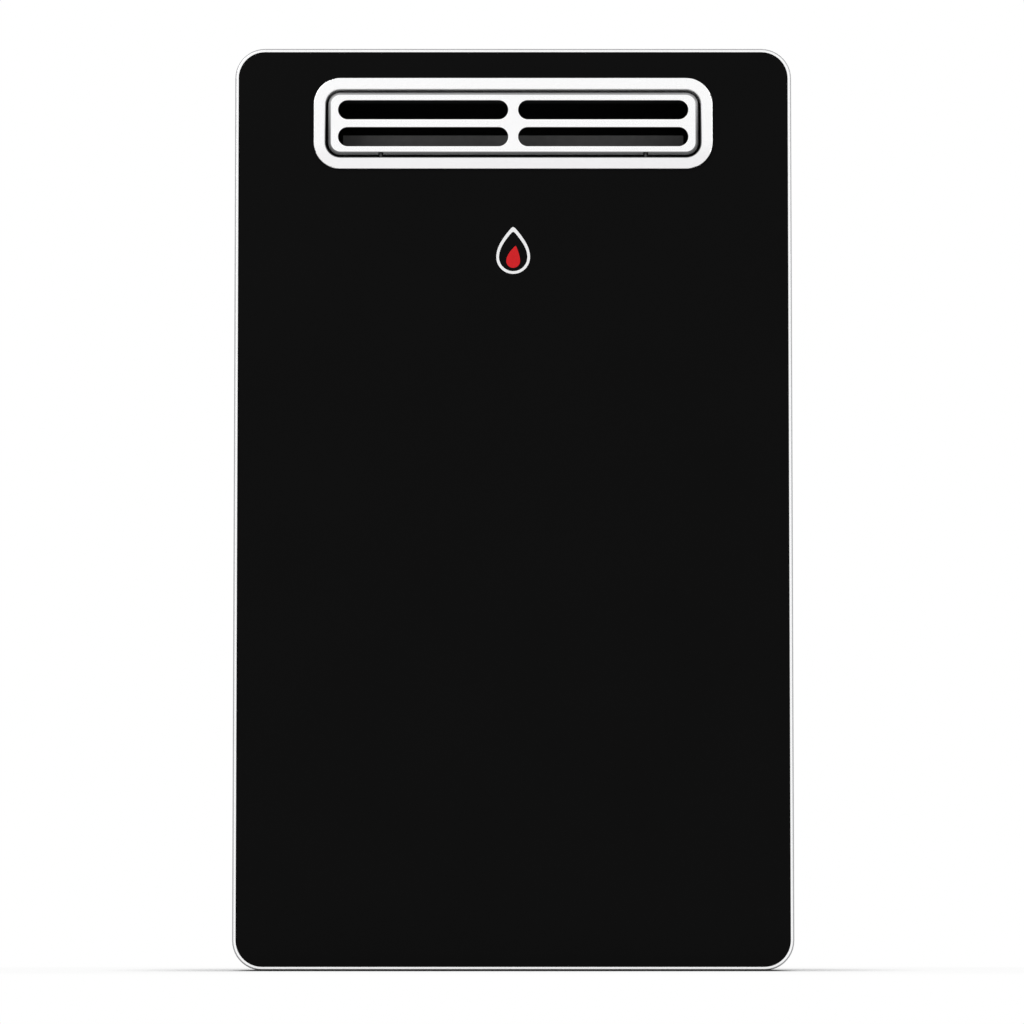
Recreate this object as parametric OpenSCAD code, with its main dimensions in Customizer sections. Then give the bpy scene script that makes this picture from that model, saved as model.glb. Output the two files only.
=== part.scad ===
// Outdoor tankless gas water heater that hangs on a wall. The front cover, flue, heat exchanger,
// burner, fan, gas train, water train and controls are separate pieces.
// Millimetres, +Z up, front towards -Y, origin at the middle of the bottom.

/* [Case] */
// Width of the case
case_w = 355; // [345:1:430]
// Height of the case
case_h = 587; // [580:1:710]
// Depth from the front of the vent bezel to the wall
case_d = 172; // [172:1:210]
// Corner radius of the case outline
case_r = 19; // [16:0.5:23]
// Thickness of the case's steel sheet
sheet_t = 1; // [0.8:0.1:1.2]
// Depth of the rear chassis pan
chassis_d = 42; // [35:1:50]
// Overlap of the cover on the chassis lip
lap_d = 14; // [12:1:17]
// Gap between the cover wall and the chassis lip
lap_gap = 0.4; // [0.3:0.05:0.5]
// Gap between the cover's rear edge and the chassis shoulder
seam_gap = 0.5; // [0.4:0.1:0.6]
// Radius of the cover screws' shanks
screw_r = 2; // [1.7:0.1:2.4]
// Height of the recessed connection bay
bay_h = 36; // [32:1:42]
// Thickness of the bottom plate
plate_t = 1.2; // [1:0.1:1.4]

/* [Wall rails] */
// Stand-off of the case from the wall
rail_d = 12; // [10:1:14]
// Length of each rail
rail_l = 300; // [260:5:330]
// Distance of each rail from the case's end
rail_end = 62; // [52:1:74]
// Distance between the wall screws of one rail
bolt_x = 220; // [190:5:260]
// Radius of the wall screw holes
bolt_r = 4; // [3.5:0.25:4.75]
// Thickness of the rail steel
rail_t = 1.5; // [1.25:0.25:2]

/* [Front] */
// Thickness of the black front panel
panel_t = 3; // [2.5:0.1:3.6]
// Width of the trim frame
trim_w = 2.2; // [1.9:0.1:2.6]
// Height of the trim frame over the panel
trim_proud = 0.3; // [0.2:0.1:0.4]
// Radius of the trim's outer front edge
trim_edge = 1.1; // [0.8:0.1:1.3]
// Distance from the case's top to the middle of the vent
vent_drop = 48.3; // [44:0.1:54]
// Width of the vent bezel
bezel_w = 254.5; // [240:0.5:280]
// Height of the vent bezel
bezel_h = 58.4; // [54:0.2:62]
// Corner radius of the vent bezel
bezel_r = 17; // [15:0.5:20]
// Width of the bezel's flange
bezel_flange = 7.4; // [6.4:0.1:8]
// Height of the bezel over the panel
bezel_proud = 2.5; // [2:0.1:3]
// Radius of the bezel's front edges
bezel_edge = 0.5; // [0.4:0.1:0.8]
// Open channel between the bezel and the grille
channel = 1.9; // [1.7:0.1:2.2]
// Thickness of the grille sheet
grille_t = 1; // [0.8:0.1:1.2]
// Height of one vent slot
slot_h = 12.4; // [10:0.1:12.6]
// Bar between the two rows of slots
slot_bar = 4.9; // [4.5:0.1:6]
// Bar between the two slots of a row
slot_gap = 6.3; // [5:0.1:8]
// Margin between the slots and the side of the grille
slot_margin = 6.2; // [5.4:0.1:8]
// Height of the rain baffle in the flue outlet
baffle_h = 13.4; // [11:0.1:17]

/* [Heat exchanger] */
// Width of the heat exchanger
hx_w = 240; // [236:1:246]
// Depth of the heat exchanger
hx_d = 116; // [112:1:116]
// Height of the burner box
burner_h = 74; // [70:1:80]
// Height of the combustion chamber
chamber_h = 126; // [116:1:130]
// Height of the fin block
fin_h = 52; // [44:1:56]
// Number of fins
fin_count = 46; // [36:1:52]
// Thickness of one fin
fin_t = 0.6; // [0.5:0.1:0.8]
// Distance between the tubes
tube_pitch = 20; // [18:1:21]
// Radius of the tubes in the fin block
tube_r = 7; // [6:0.5:8]
// Radius of the water pipes
pipe_r = 6.5; // [5.5:0.5:6.5]
// Wall of the pipes and tubes
pipe_t = 1; // [0.8:0.1:1.2]
// Bend radius of the water pipes
bend_r = 12; // [10:0.5:12]
// Gap between the wrapped pipe and the chamber
coil_gap = 0.5; // [0.3:0.1:0.8]

/* [Burner] */
// Number of burner bars
bar_count = 11; // [9:1:11]
// Distance between the burner bars
bar_pitch = 20; // [19:0.5:20.5]
// Radius of the mixing tube at a bar's foot
bar_r = 8; // [7:0.5:8.5]
// Thickness of the burner bars' sheet
bar_t = 0.8; // [0.6:0.1:1]
// Side of the square gas manifold
manifold_s = 14; // [12:0.5:15]

/* [Fan] */
// Sideways position of the fan
fan_x = -15; // [-20:1:-10]
// Radius of the impeller
fan_r = 50; // [44:1:52]
// Number of blades
blade_count = 32; // [24:1:40]
// Width of the scroll housing
scroll_d = 60; // [54:1:60]
// Step of the scroll's radius in each quarter
scroll_step = 6; // [4:0.5:6]
// Radius of the fan shaft
shaft_r = 3; // [2.5:0.25:4]
// Radial clearance of a shaft in its bearing
bearing_gap = 0.05; // [0.03:0.01:0.08]

/* [Connections] */
// Sideways position of the hot outlet
hot_x = -116; // [-116:1:-112]
// Sideways position of the gas inlet
gas_x = 70; // [66:1:74]
// Outer radius of the connection stubs
stub_r = 13.2; // [11:0.1:13.5]
// Length of the stubs below their lock nuts
stub_l = 23; // [20:0.5:24]
// Clearance round a stub in the bottom plate
stub_gap = 0.3; // [0.2:0.05:0.5]
// Radius of the bore in the power gland
gland_r = 4.2; // [3.5:0.1:5]
// Radius of the bore in the controller grommet
grommet_r = 3; // [2.5:0.1:3.6]
// Radius of the valve plungers
plunger_r = 4; // [3.5:0.1:4.4]
// Radial clearance of a plunger in its guide
plunger_gap = 0.3; // [0.25:0.05:0.4]
// Travel of a plunger
plunger_travel = 3; // [2:0.5:3.5]
// Radius of the flow rotor
rotor_r = 11; // [9.5:0.5:11.5]

/* [Controls] */
// Width of the control tray
tray_w = 88; // [80:1:88]
// Height of the control tray
tray_h = 96; // [84:1:96]
// Left edge of the control tray
tray_x = -170; // [-170:1:-168]

/* [Hidden] */
$fn = 64;

// Depth stations, front to back
y_front = -case_d / 2;
y_face = y_front + bezel_proud;
y_cover = y_face + panel_t;
y_inner = y_cover + sheet_t;
y_wall = case_d / 2;
y_back = y_wall - rail_d;
y_pan = y_back - sheet_t;
y_seam = y_back - chassis_d;
lip_in = sheet_t + lap_gap;
screw_y = y_seam - lap_d / 2;
low_z = rail_end;
high_z = case_h - rail_end;
bay_w = case_w - 2 * case_r - 1;
y_bay = y_inner + 13.5;
plate_w = case_w - 2 * (lip_in + sheet_t) - 1;
y_plate = y_inner + 3;
plate_top = bay_h + plate_t;

// Rails, their rivets and the pressed beads of the rear panel
rail_crown = 20;
rail_foot = 34;
rivet_x = 130;
rivet_z = (rail_crown + rail_foot) / 2;
rivet_r = 3.4;
rivet_h = 1.3;
access_r = 9;
bead_w = 16;
bead_l = rail_l - 60;
bead_d = 2;
bead_levels = [0.34, 0.5, 0.66];

// Vent outlines, from the bezel inwards
vent_z = case_h - vent_drop;
bezel_lip = 1.2;
y_lip = y_front + 15;
cut_in = bezel_flange - bezel_lip - 1;
pan_in = bezel_flange + channel;
pan_w = bezel_w - 2 * pan_in;
pan_h = bezel_h - 2 * pan_in;
pan_r = bezel_r - pan_in;
edge_r = 1.8;
sleeve_gap = 0.3;
sleeve_t = 1;
sleeve_in = pan_in + grille_t + sleeve_gap;
slot_l = (pan_w - 2 * slot_margin - slot_gap) / 2;
spacer_x = pan_w * 0.358;
spacer_y = y_front + 1.4;
spacer_r = 0.8;
notch_w = 3;
notch_h = 1.2;

// Heat exchanger levels
hx_y = 0;
fit_y = hx_y - 2 * tube_pitch;
burner_z = plate_top + 134.8;
chamber_z = burner_z + burner_h;
fin_z = chamber_z + chamber_h;
gasket_z = fin_z + fin_h;
gasket_t = 2;
hood_z = gasket_z + gasket_t;
hood_top = case_h - 15;
bead_h = 1.5;
hood_w = max(hx_w, bezel_w - 2 * sleeve_in + 6);
y_hx0 = hx_y - hx_d / 2;
y_hx1 = hx_y + hx_d / 2;
y_hood0 = y_hx0 + 4;
y_hood1 = y_hx1 - 4;
tube_z = fin_z + fin_h / 2;
tube_end = hx_w / 2 + 4;
coil_x = hx_w / 2 + coil_gap + pipe_r;
y_coil0 = y_hx0 - coil_gap - pipe_r;
y_coil1 = y_hx1 + coil_gap + pipe_r;
coil_z1 = chamber_z + 29;
coil_z2 = chamber_z + 79;
cold_x = coil_x;
hot_drop = -coil_x - 2 * pipe_r - 2;
hot_jog = burner_z - 24;

// Burner levels
bar_z = burner_z + 24;
bar_top = burner_z + 54;
jet_y = y_hx0 - 4;
y_man = jet_y - manifold_s;
spark_z = burner_z + 64;
spark_x = 66;
spark_gap = 16;

// Fan levels
fan_z = plate_top + fan_r + scroll_step + 14.8;
y_fan = hx_y - 12;
y_fan1 = y_fan + scroll_d;
scroll_r = fan_r + 8;
inlet_r = fan_r - 14;
wheel_y = y_fan + 6;
wheel_y1 = y_fan1 - 4.5;
motor_l = 22;
can_r = fan_r - 12;
seam_w = 3;
seam_t = 1.2;
bell_r = 2;

// Water and gas levels
fit_top = plate_top + 33;
nut_h = 8;
stub_z = bay_h - nut_h - stub_l;
flange_r = 22;
flange_t = 4;
hex_r = 21;
hex_h = 7;
plug_y = fit_y + 40;
sensor_h = 52;
sensor_z = fit_top + sensor_h;
socket_d = 10;
socket_gap = 0.1;
valve_top = fit_top + 58;
valve_y0 = fit_y - 16;
valve_y1 = fit_y + 22;
valve_w = 48;
valve_d = valve_y1 - valve_y0;
guide_r = plunger_r + plunger_gap + 1.2;
coil_r = 11;
coil_y = valve_y0 - 20;
coil_z = fit_top + 22;
coil_off = 12;
gas_turn = valve_top + 22;
y_gas = y_man + manifold_s / 2;

// Control tray levels
tray_z = fit_top + 2;
tray_y0 = fit_y - 34;
tray_y1 = fit_y - 12;
tray_t = 2;
tray_r = 5;
plug_pitch = 17;
plug_x = 8;
plug_w = 13;
board_y = tray_y1 - 8.6;
board_in = 3;
gland_x = -145;
gland_y = plug_y + 2;
grommet_x = -80;
grommet_y = plug_y - 6;

// Leads
lead_r = 1.2;
lead_bend = 4;
tower_l = 5;
y_lead = y_coil0 - pipe_r - lead_r - 0.5;
switch_z = (coil_z1 + coil_z2) / 2;

cover_shell();
face_panel();
trim_frame();
vent_bezel();
bezel_spacers();
vent_seal();
cover_screws();
chassis();
upper_rail();
lower_rail();
rail_rivets();
bottom_plate();
flue_hood();
vent_grille();
grille_rivets();
rain_baffle();
flue_gasket();
fin_block();
chamber();
hx_brackets();
overheat_switch();
cold_pipe();
hot_pipe();
burner_box();
burner_bars();
gas_manifold();
gas_jets();
electrodes();
electrode_tips();
ignition_leads();
spark_module();
fan_scroll();
fan_motor();
fan_impeller();
fan_shaft();
gas_fitting();
gas_valve();
gas_coils();
gas_pipe();
main_plunger();
modulating_plunger();
cold_fitting();
hot_fitting();
fitting_nuts();
water_plugs();
flange_screws();
flow_sensor();
flow_carriers();
flow_rotor();
water_sensors();
frost_heaters();
control_tray();
control_board();
board_parts();
wiring_loom();
power_gland();
controller_grommet();

// Box between two limits on each axis
module block(x, y, z)
    translate([x[0], y[0], z[0]]) cube([x[1] - x[0], y[1] - y[0], z[1] - z[0]]);

// Round bars along an axis, from a start point
module rod_x(x, y, z, r, l) translate([x, y, z]) rotate([0, 90, 0]) cylinder(r = r, h = l);
module rod_y(x, y, z, r, l) translate([x, y, z]) rotate([-90, 0, 0]) cylinder(r = r, h = l);
module rod_z(x, y, z, r, l) translate([x, y, z]) cylinder(r = r, h = l);

// Extrudes an outline drawn as [x, z] between two depths
module upright(y0, y1)
    translate([0, y1, 0]) rotate([90, 0, 0]) linear_extrude(y1 - y0) children();

// Extrudes an outline drawn as [y, z] along the width
module across(x0, x1)
    translate([x0, 0, 0]) rotate([90, 0, 90]) linear_extrude(x1 - x0) children();

module area(x0, x1, y0, y1) translate([x0, y0]) square([x1 - x0, y1 - y0]);

module rounded_rect(w, h, r) {
    square([w - 2 * r, h], center = true);
    square([w, h - 2 * r], center = true);
    for (sx = [-1, 1], sy = [-1, 1])
        translate([sx * (w / 2 - r), sy * (h / 2 - r)]) circle(r);
}

// Slot with round ends, along its first axis
module stadium(l, h) {
    square([l - h, h], center = true);
    for (s = [-1, 1]) translate([s * (l - h) / 2, 0]) circle(h / 2);
}

// What a rounded corner takes off a section whose corner lies at [x, y]
module corner_cut(x, y, sx, sy, r) translate([x, y]) difference() {
    area(min(0, -sx * r), max(0, -sx * r), min(0, -sy * r), max(0, -sy * r));
    translate([-sx * r, -sy * r]) circle(r);
}

// Case outline pulled in all round
module case_outline(inset)
    translate([0, case_h / 2]) rounded_rect(case_w - 2 * inset, case_h - 2 * inset, case_r - inset);

module case_ring(inset, t) difference() {
    case_outline(inset);
    case_outline(inset + t);
}

// Vent outline, pulled in from the bezel's outer edge
module vent_outline(inset)
    translate([0, vent_z]) rounded_rect(bezel_w - 2 * inset, bezel_h - 2 * inset, bezel_r - inset);

// Sweeps a section drawn as [outward, forward] round a rounded rectangle in the front plane
module front_rim(z, w, h, r) translate([0, 0, z]) rotate([90, 0, 0]) for (k = [0:3]) {
    a = k % 2 == 0 ? w : h;
    b = k % 2 == 0 ? h : w;
    rotate([0, 0, 90 * k]) {
        translate([r - a / 2, b / 2, 0]) rotate([90, 0, 90]) linear_extrude(a - 2 * r) children();
        translate([a / 2 - r, b / 2 - r, 0]) rotate_extrude(angle = 90) translate([r, 0]) children();
    }
}

module frame_at(o, ex, ey, ez) multmatrix([
    [ex.x, ey.x, ez.x, o.x],
    [ex.y, ey.y, ez.y, o.y],
    [ex.z, ey.z, ez.z, o.z],
    [0, 0, 0, 1]
]) children();

// Round pipe along square-cornered points, with a quarter bend at each corner
module pipe(path, r, bend) {
    last = len(path) - 1;
    for (i = [0:last - 1]) {
        d = (path[i + 1] - path[i]) / norm(path[i + 1] - path[i]);
        a = path[i] + (i > 0 ? bend : 0) * d;
        b = path[i + 1] - (i < last - 1 ? bend : 0) * d;
        side = [d.z, d.x, d.y];
        frame_at(a, side, cross(d, side), d) cylinder(r = r, h = norm(b - a));
    }
    for (i = [1:1:last - 1]) {
        d = (path[i] - path[i - 1]) / norm(path[i] - path[i - 1]);
        e = (path[i + 1] - path[i]) / norm(path[i + 1] - path[i]);
        frame_at(path[i] + bend * (e - d), -e, d, cross(d, e))
            rotate_extrude(angle = 90) translate([bend, 0]) circle(r);
    }
}

// The same pipe with its bore
module tube(path, r, bend) difference() {
    pipe(path, r, bend);
    pipe(path, r - pipe_t, bend);
}

// Deep pressed cover with the vent opening, the open bay below and a notch at each screw
module cover_shell() color("silver") difference() {
    union() {
        upright(y_cover, y_inner) case_outline(0);
        upright(y_cover, y_seam - seam_gap) case_ring(0, sheet_t);
    }
    upright(y_cover - 1, y_inner + 1) vent_outline(cut_in);
    block([-bay_w / 2, bay_w / 2], [y_bay, y_seam], [-1, sheet_t + 1]);
    for (z = [low_z, high_z]) {
        rod_x(-case_w, screw_y, z, screw_r + lap_gap, 2 * case_w);
        block([-case_w, case_w], [screw_y, y_seam], [z - screw_r - lap_gap, z + screw_r + lap_gap]);
    }
}

module face_panel() color("black") difference() {
    upright(y_face, y_cover) case_outline(trim_w + 0.2);
    upright(y_face - 1, y_cover + 1) vent_outline(cut_in);
}

module trim_frame() color("gainsboro") front_rim(case_h / 2, case_w, case_h, case_r) difference() {
    area(-trim_w, 0, -y_cover, trim_proud - y_face);
    corner_cut(0, trim_proud - y_face, 1, 1, trim_edge);
}

// Bezel with a rounded flange, a lip through the panel and tabs bent over behind the cover
module vent_bezel() color("whitesmoke") difference() {
    union() {
        front_rim(vent_z, bezel_w, bezel_h, bezel_r) difference() {
            union() {
                area(-bezel_flange, 0, -y_face, -y_front);
                area(-bezel_flange, bezel_lip - bezel_flange, -y_lip, -y_face);
            }
            corner_cut(0, -y_front, 1, 1, bezel_edge);
            corner_cut(-bezel_flange, -y_front, -1, 1, bezel_edge);
        }
        for (x = [-80, 0, 80], s = [-1, 1]) {
            z = vent_z + s * (bezel_h / 2 - bezel_flange + bezel_lip + 1.5);
            block([x - 8, x + 8], [y_inner, y_inner + 1], [z - 2, z + 2]);
        }
    }
    for (s = [-1, 1])
        rod_z(s * spacer_x, spacer_y, vent_z - pan_h / 2 - channel - bezel_lip, spacer_r, bezel_lip + 1);
}

// Rubber pins in the bezel that keep the grille centred by the notches in its lower edge
module bezel_spacers() color("dimgray") for (s = [-1, 1]) {
    floor_z = vent_z - pan_h / 2 - channel;
    rod_z(s * spacer_x, spacer_y, floor_z - bezel_lip, spacer_r, bezel_lip + channel + notch_h - 0.6);
}

// Moulded rubber ring from the cover to the grille's walls
module vent_seal() color("dimgray") front_rim(vent_z, bezel_w, bezel_h, bezel_r) union() {
    area(1, 6, -y_inner - 2.5, -y_inner);
    area(-0.5, 1, -y_lip - 5, -y_inner);
    area(0.3 - pan_in, -0.5, -y_lip - 5, -y_lip - 3);
}

// Pan-head screws through the chassis lip
module cover_screws() color("silver") for (s = [-1, 1], z = [low_z, high_z]) scale([s, 1, 1]) {
    rod_x(case_w / 2 - 12, screw_y, z, screw_r, 12.1);
    rod_x(case_w / 2 + 0.1, screw_y, z, screw_r * 2.1, 1.6);
}

// Rear pan with a stepped lip for the cover, pressed beads and holes behind the wall screws
module chassis() color("lightgray") difference() {
    union() {
        upright(y_pan, y_back) case_outline(0);
        upright(y_seam, y_back) case_ring(0, sheet_t);
        upright(y_seam, y_seam + sheet_t) case_ring(0, lip_in + sheet_t);
        upright(y_seam - lap_d, y_seam + sheet_t) case_ring(lip_in, sheet_t);
        for (f = bead_levels) upright(y_back, y_back + bead_d)
            translate([0, case_h * f]) stadium(bead_l, bead_w);
    }
    for (f = bead_levels) upright(y_pan - 1, y_back + bead_d - sheet_t)
        translate([0, case_h * f]) stadium(bead_l - 2 * sheet_t, bead_w - 2 * sheet_t);
    for (z = [low_z, high_z]) {
        rod_x(-case_w, screw_y, z, screw_r + 0.05, 2 * case_w);
        for (s = [-1, 1]) rod_y(s * bolt_x / 2, y_pan - 1, z, access_r, sheet_t + 2);
    }
    block([-bay_w / 2, bay_w / 2], [y_seam - lap_d - 1, y_seam], [-1, lip_in + sheet_t + 1]);
}

// Hat-section rail whose crown lies on the wall
module rail(z) color("silver") difference() {
    across(-rail_l / 2, rail_l / 2) translate([y_back, z]) polygon([
        [0, -rail_foot], [rail_t, -rail_foot], [rail_t, -rail_crown], [rail_d, -rail_crown],
        [rail_d, rail_crown], [rail_t, rail_crown], [rail_t, rail_foot], [0, rail_foot],
        [0, rail_crown - rail_t], [rail_d - rail_t, rail_crown - rail_t],
        [rail_d - rail_t, rail_t - rail_crown], [0, rail_t - rail_crown]
    ]);
    for (s = [-1, 1]) rod_y(s * bolt_x / 2, y_wall - rail_t - 1, z, bolt_r, rail_t + 2);
}

module upper_rail() rail(high_z);

module lower_rail() rail(low_z);

module rail_rivets() color("gainsboro")
    for (x = [-rivet_x, 0, rivet_x], z = [low_z, high_z], s = [-1, 1])
        translate([x, y_back + rail_t, z + s * rivet_z]) rotate([-90, 0, 0])
            cylinder(r1 = rivet_r, r2 = rivet_r - 1.2, h = rivet_h);

// Folded plate that carries the connections, with the air intake slots
module bottom_plate() color("lightgray") difference() {
    union() {
        block([-plate_w / 2, plate_w / 2], [y_plate, y_pan], [bay_h, plate_top]);
        block([-plate_w / 2, plate_w / 2], [y_plate, y_plate + plate_t], [bay_h, bay_h + 12]);
        block([-plate_w / 2, plate_w / 2], [y_pan - plate_t, y_pan], [bay_h, bay_h + 14]);
        for (s = [-1, 1]) scale([s, 1, 1])
            block([plate_w / 2 - plate_t, plate_w / 2], [y_plate, y_pan], [bay_h, bay_h + 12]);
    }
    for (x = [hot_x, gas_x, cold_x]) rod_z(x, fit_y, bay_h - 1, stub_r + stub_gap, plate_t + 2);
    for (x = [hot_x, cold_x]) rod_z(x, plug_y, bay_h - 1, 10.3, plate_t + 2);
    rod_z(gland_x, gland_y, bay_h - 1, 8.2, plate_t + 2);
    rod_z(grommet_x, grommet_y, bay_h - 1, 6.2, plate_t + 2);
    for (k = [0:5]) intake_slot(18 * k - 74, fit_y - 4, 32);
    for (k = [0:6]) intake_slot(24 * k - 55, plug_y + 19, 26);
}

module intake_slot(x, y, l)
    translate([x, y, bay_h - 1]) linear_extrude(plate_t + 2) rotate(90) stadium(l, 6);

// Folded hood over the fins with a sleeve that carries the flue gas out through the front
module flue_hood() color("silver") difference() {
    union() {
        block([-hx_w / 2, hx_w / 2], [y_hx0, y_hx1], [hood_z, hood_z + 1.2]);
        hood_form(0);
        upright(y_front + 2.4, y_hood0 + 1) vent_outline(sleeve_in);
        upright(y_hood0 - bead_h, y_hood0 + sleeve_t) hood_bead(0);
    }
    hood_form(sleeve_t);
    upright(y_hood0 - bead_h + sleeve_t, y_hood0 + 2 * sleeve_t) hood_bead(sleeve_t);
    block([1 - hx_w / 2, hx_w / 2 - 1], [y_hood0 + 1, y_hood1 - 1], [hood_z - 1, hood_z + 3]);
    upright(y_front, y_hood0 + 2) vent_outline(sleeve_in + sleeve_t);
}

// Stiffening bead across the front of the hood
module hood_bead(t) translate([0, hood_z + 40]) stadium(hx_w - 60 - 2 * t, bead_w - 2 * t);

// Outside of the hood, or its inside when pulled in by a wall thickness
module hood_form(t) difference() {
    across(t - hood_w / 2, hood_w / 2 - t) union() {
        area(y_hood0 + t, y_hood1 - t, hood_z + t, hood_top - 30);
        area(y_hood0 + t, y_hood1 - 30, hood_z + t, hood_top - t);
        translate([y_hood1 - 30, hood_top - 30]) circle(30 - t);
    }
}

// Grille pan with a rounded front edge, four slots, two notches and walls back to the hood
module vent_grille() color("whitesmoke") difference() {
    union() {
        front_rim(vent_z, pan_w, pan_h, pan_r) difference() {
            union() {
                area(-grille_t, 0, -y_hood0, -y_front);
                area(-4, 0, -y_front - grille_t - 0.2, -y_front);
            }
            corner_cut(0, -y_front, 1, 1, edge_r);
        }
        upright(y_front, y_front + grille_t + 0.2) vent_outline(pan_in + 4);
    }
    for (sx = [-1, 1], sz = [-1, 1]) upright(y_front - 1, y_front + 3)
        translate([sx * (slot_l + slot_gap) / 2, vent_z + sz * (slot_h + slot_bar) / 2])
            stadium(slot_l, slot_h);
    for (s = [-1, 1]) block([s * spacer_x - notch_w / 2, s * spacer_x + notch_w / 2],
        [y_front - 1, spacer_y + notch_w / 2], [vent_z - pan_h / 2 - 1, vent_z - pan_h / 2 + notch_h]);
}

module grille_rivets() color("silver") for (sx = [-1, 1], sz = [-1, 1]) scale([sx, 1, 1])
    translate([pan_w * 0.4, y_hood0 - 5, vent_z + sz * pan_h / 2])
        rotate([sz > 0 ? 0 : 180, 0, 0]) cylinder(r1 = 2.6, r2 = 1.8, h = 1);

// Upstand on the floor of the outlet sleeve
module rain_baffle() color("gray") {
    floor_z = vent_z - bezel_h / 2 + sleeve_in + sleeve_t;
    half = bezel_w / 2 - bezel_r - 1;
    block([-half, half], [y_front + 26, y_front + 27], [floor_z, floor_z + baffle_h]);
    block([-half, half], [y_front + 26, y_front + 36], [floor_z, floor_z + 1]);
}

module flue_gasket() color("white") difference() {
    block([-hx_w / 2, hx_w / 2], [y_hx0, y_hx1], [gasket_z, hood_z]);
    block([8 - hx_w / 2, hx_w / 2 - 8], [y_hx0 + 8, y_hx1 - 8], [gasket_z - 1, hood_z + 1]);
}

// Fins on five tubes joined in series by return bends
module fin_block() color("peru") difference() {
    union() {
        for (s = [-1, 1]) scale([s, 1, 1])
            block([hx_w / 2 - 1.5, hx_w / 2], [y_hx0, y_hx1], [fin_z, gasket_z]);
        for (i = [1:fin_count]) {
            x = 1.5 - hx_w / 2 + i * (hx_w - 3) / (fin_count + 1);
            block([x - fin_t / 2, x + fin_t / 2], [y_hx0 + 1, y_hx1 - 1], [fin_z, gasket_z]);
        }
        serpentine(tube_r);
    }
    serpentine(tube_r - pipe_t);
}

module serpentine(r) {
    for (k = [-2:2]) rod_x(-tube_end, hx_y + k * tube_pitch, tube_z, r, 2 * tube_end);
    for (k = [-1.5, 0.5]) translate([tube_end, hx_y + k * tube_pitch, tube_z]) return_bend(-90, r);
    for (k = [-0.5, 1.5]) translate([-tube_end, hx_y + k * tube_pitch, tube_z]) return_bend(90, r);
}

module return_bend(turn, r) rotate([0, 0, turn])
    rotate_extrude(angle = 180) translate([tube_pitch / 2, 0]) circle(r);

// Copper shell round the flames, flanged at front and back
module chamber() color("peru") difference() {
    union() {
        translate([0, hx_y, chamber_z]) linear_extrude(chamber_h) rounded_rect(hx_w, hx_d, 10);
        block([10 - hx_w / 2, hx_w / 2 - 10], [y_hx0 - 8, y_hx1 + 8], [chamber_z, chamber_z + 1.2]);
    }
    translate([0, hx_y, chamber_z - 1]) linear_extrude(chamber_h + 2)
        rounded_rect(hx_w - 2, hx_d - 2, 9);
}

// Folded brackets from the burner box and the hood to the rear panel
module hx_brackets() color("silver") for (s = [-1, 1]) scale([s, 1, 1]) {
    z_bracket(60, burner_z + 8, y_hx1);
    z_bracket(60, hood_z + 40, y_hood1);
}

module z_bracket(x, z, y0) {
    block([x, x + 40], [y0, y0 + 1.5], [z, z + 21.5]);
    block([x, x + 40], [y0, y_pan], [z + 20, z + 21.5]);
    block([x, x + 40], [y_pan - 1.5, y_pan], [z + 20, z + 42]);
}

// Disc thermostat on the front of the chamber
module overheat_switch() color("dimgray") {
    upright(y_hx0 - 1, y_hx0) translate([0, switch_z]) difference() {
        stadium(36, 18);
        for (s = [-1, 1]) translate([s * 13, 0]) circle(1.7);
    }
    rod_y(0, y_hx0 - 7, switch_z, 9, 6);
    rod_y(0, y_hx0 - 9, switch_z, 7, 2);
    for (s = [-1, 1])
        block([s * 4 - 0.4, s * 4 + 0.4], [y_lead - 1, y_hx0 - 9], [switch_z - 2.5, switch_z + 2.5]);
}

// Cold pipe from the flow sensor, nearly twice round the chamber and into the fin block
module cold_pipe() color("peru") tube([
    [cold_x, fit_y, sensor_z - socket_d],
    [cold_x, fit_y, coil_z1],
    [cold_x, y_coil0, coil_z1],
    [-cold_x, y_coil0, coil_z1],
    [-cold_x, y_coil1, coil_z1],
    [0, y_coil1, coil_z1],
    [0, y_coil1, coil_z2],
    [cold_x, y_coil1, coil_z2],
    [cold_x, y_coil0, coil_z2],
    [-cold_x, y_coil0, coil_z2],
    [-cold_x, y_coil1, coil_z2],
    [-40, y_coil1, coil_z2],
    [-40, y_coil1, tube_z],
    [tube_end + bend_r + 2, y_coil1, tube_z],
    [tube_end + bend_r + 2, hx_y + 2 * tube_pitch, tube_z],
    [tube_end, hx_y + 2 * tube_pitch, tube_z]
], pipe_r, bend_r);

module hot_pipe() color("peru") tube([
    [-tube_end, fit_y, tube_z],
    [hot_drop, fit_y, tube_z],
    [hot_drop, fit_y, hot_jog],
    [hot_x, fit_y, hot_jog],
    [hot_x, fit_y, fit_top + 2]
], pipe_r, bend_r);

// Open box round the burner bars, fed with air through its floor
module burner_box() color("silver") difference() {
    union() {
        block([-hx_w / 2, hx_w / 2], [y_hx0, y_hx1], [burner_z, chamber_z]);
        block([10 - hx_w / 2, hx_w / 2 - 10], [y_hx0 - 8, y_hx1 + 8], [chamber_z - 1.2, chamber_z]);
    }
    block([1 - hx_w / 2, hx_w / 2 - 1], [y_hx0 + 1, y_hx1 - 1], [burner_z + 1, chamber_z + 1]);
    translate([0, 0, burner_z - 1]) linear_extrude(3) duct_area(0);
    for (i = [0:bar_count - 1]) rod_y(bar_x(i), y_hx0 - 1, bar_z, bar_r - 1.5, 3);
    for (k = [0:2]) rod_y(spark_x + k * spark_gap, y_hx0 - 1, spark_z, 4.3, 3);
}

function bar_x(i) = (i - (bar_count - 1) / 2) * bar_pitch;

// Section of the fan's outlet duct
module duct_area(t) area(
    fan_x - scroll_r - 3 * scroll_step - t, fan_x - 12 + t, y_fan + 1 - t, y_fan1 - 1 + t);

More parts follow.
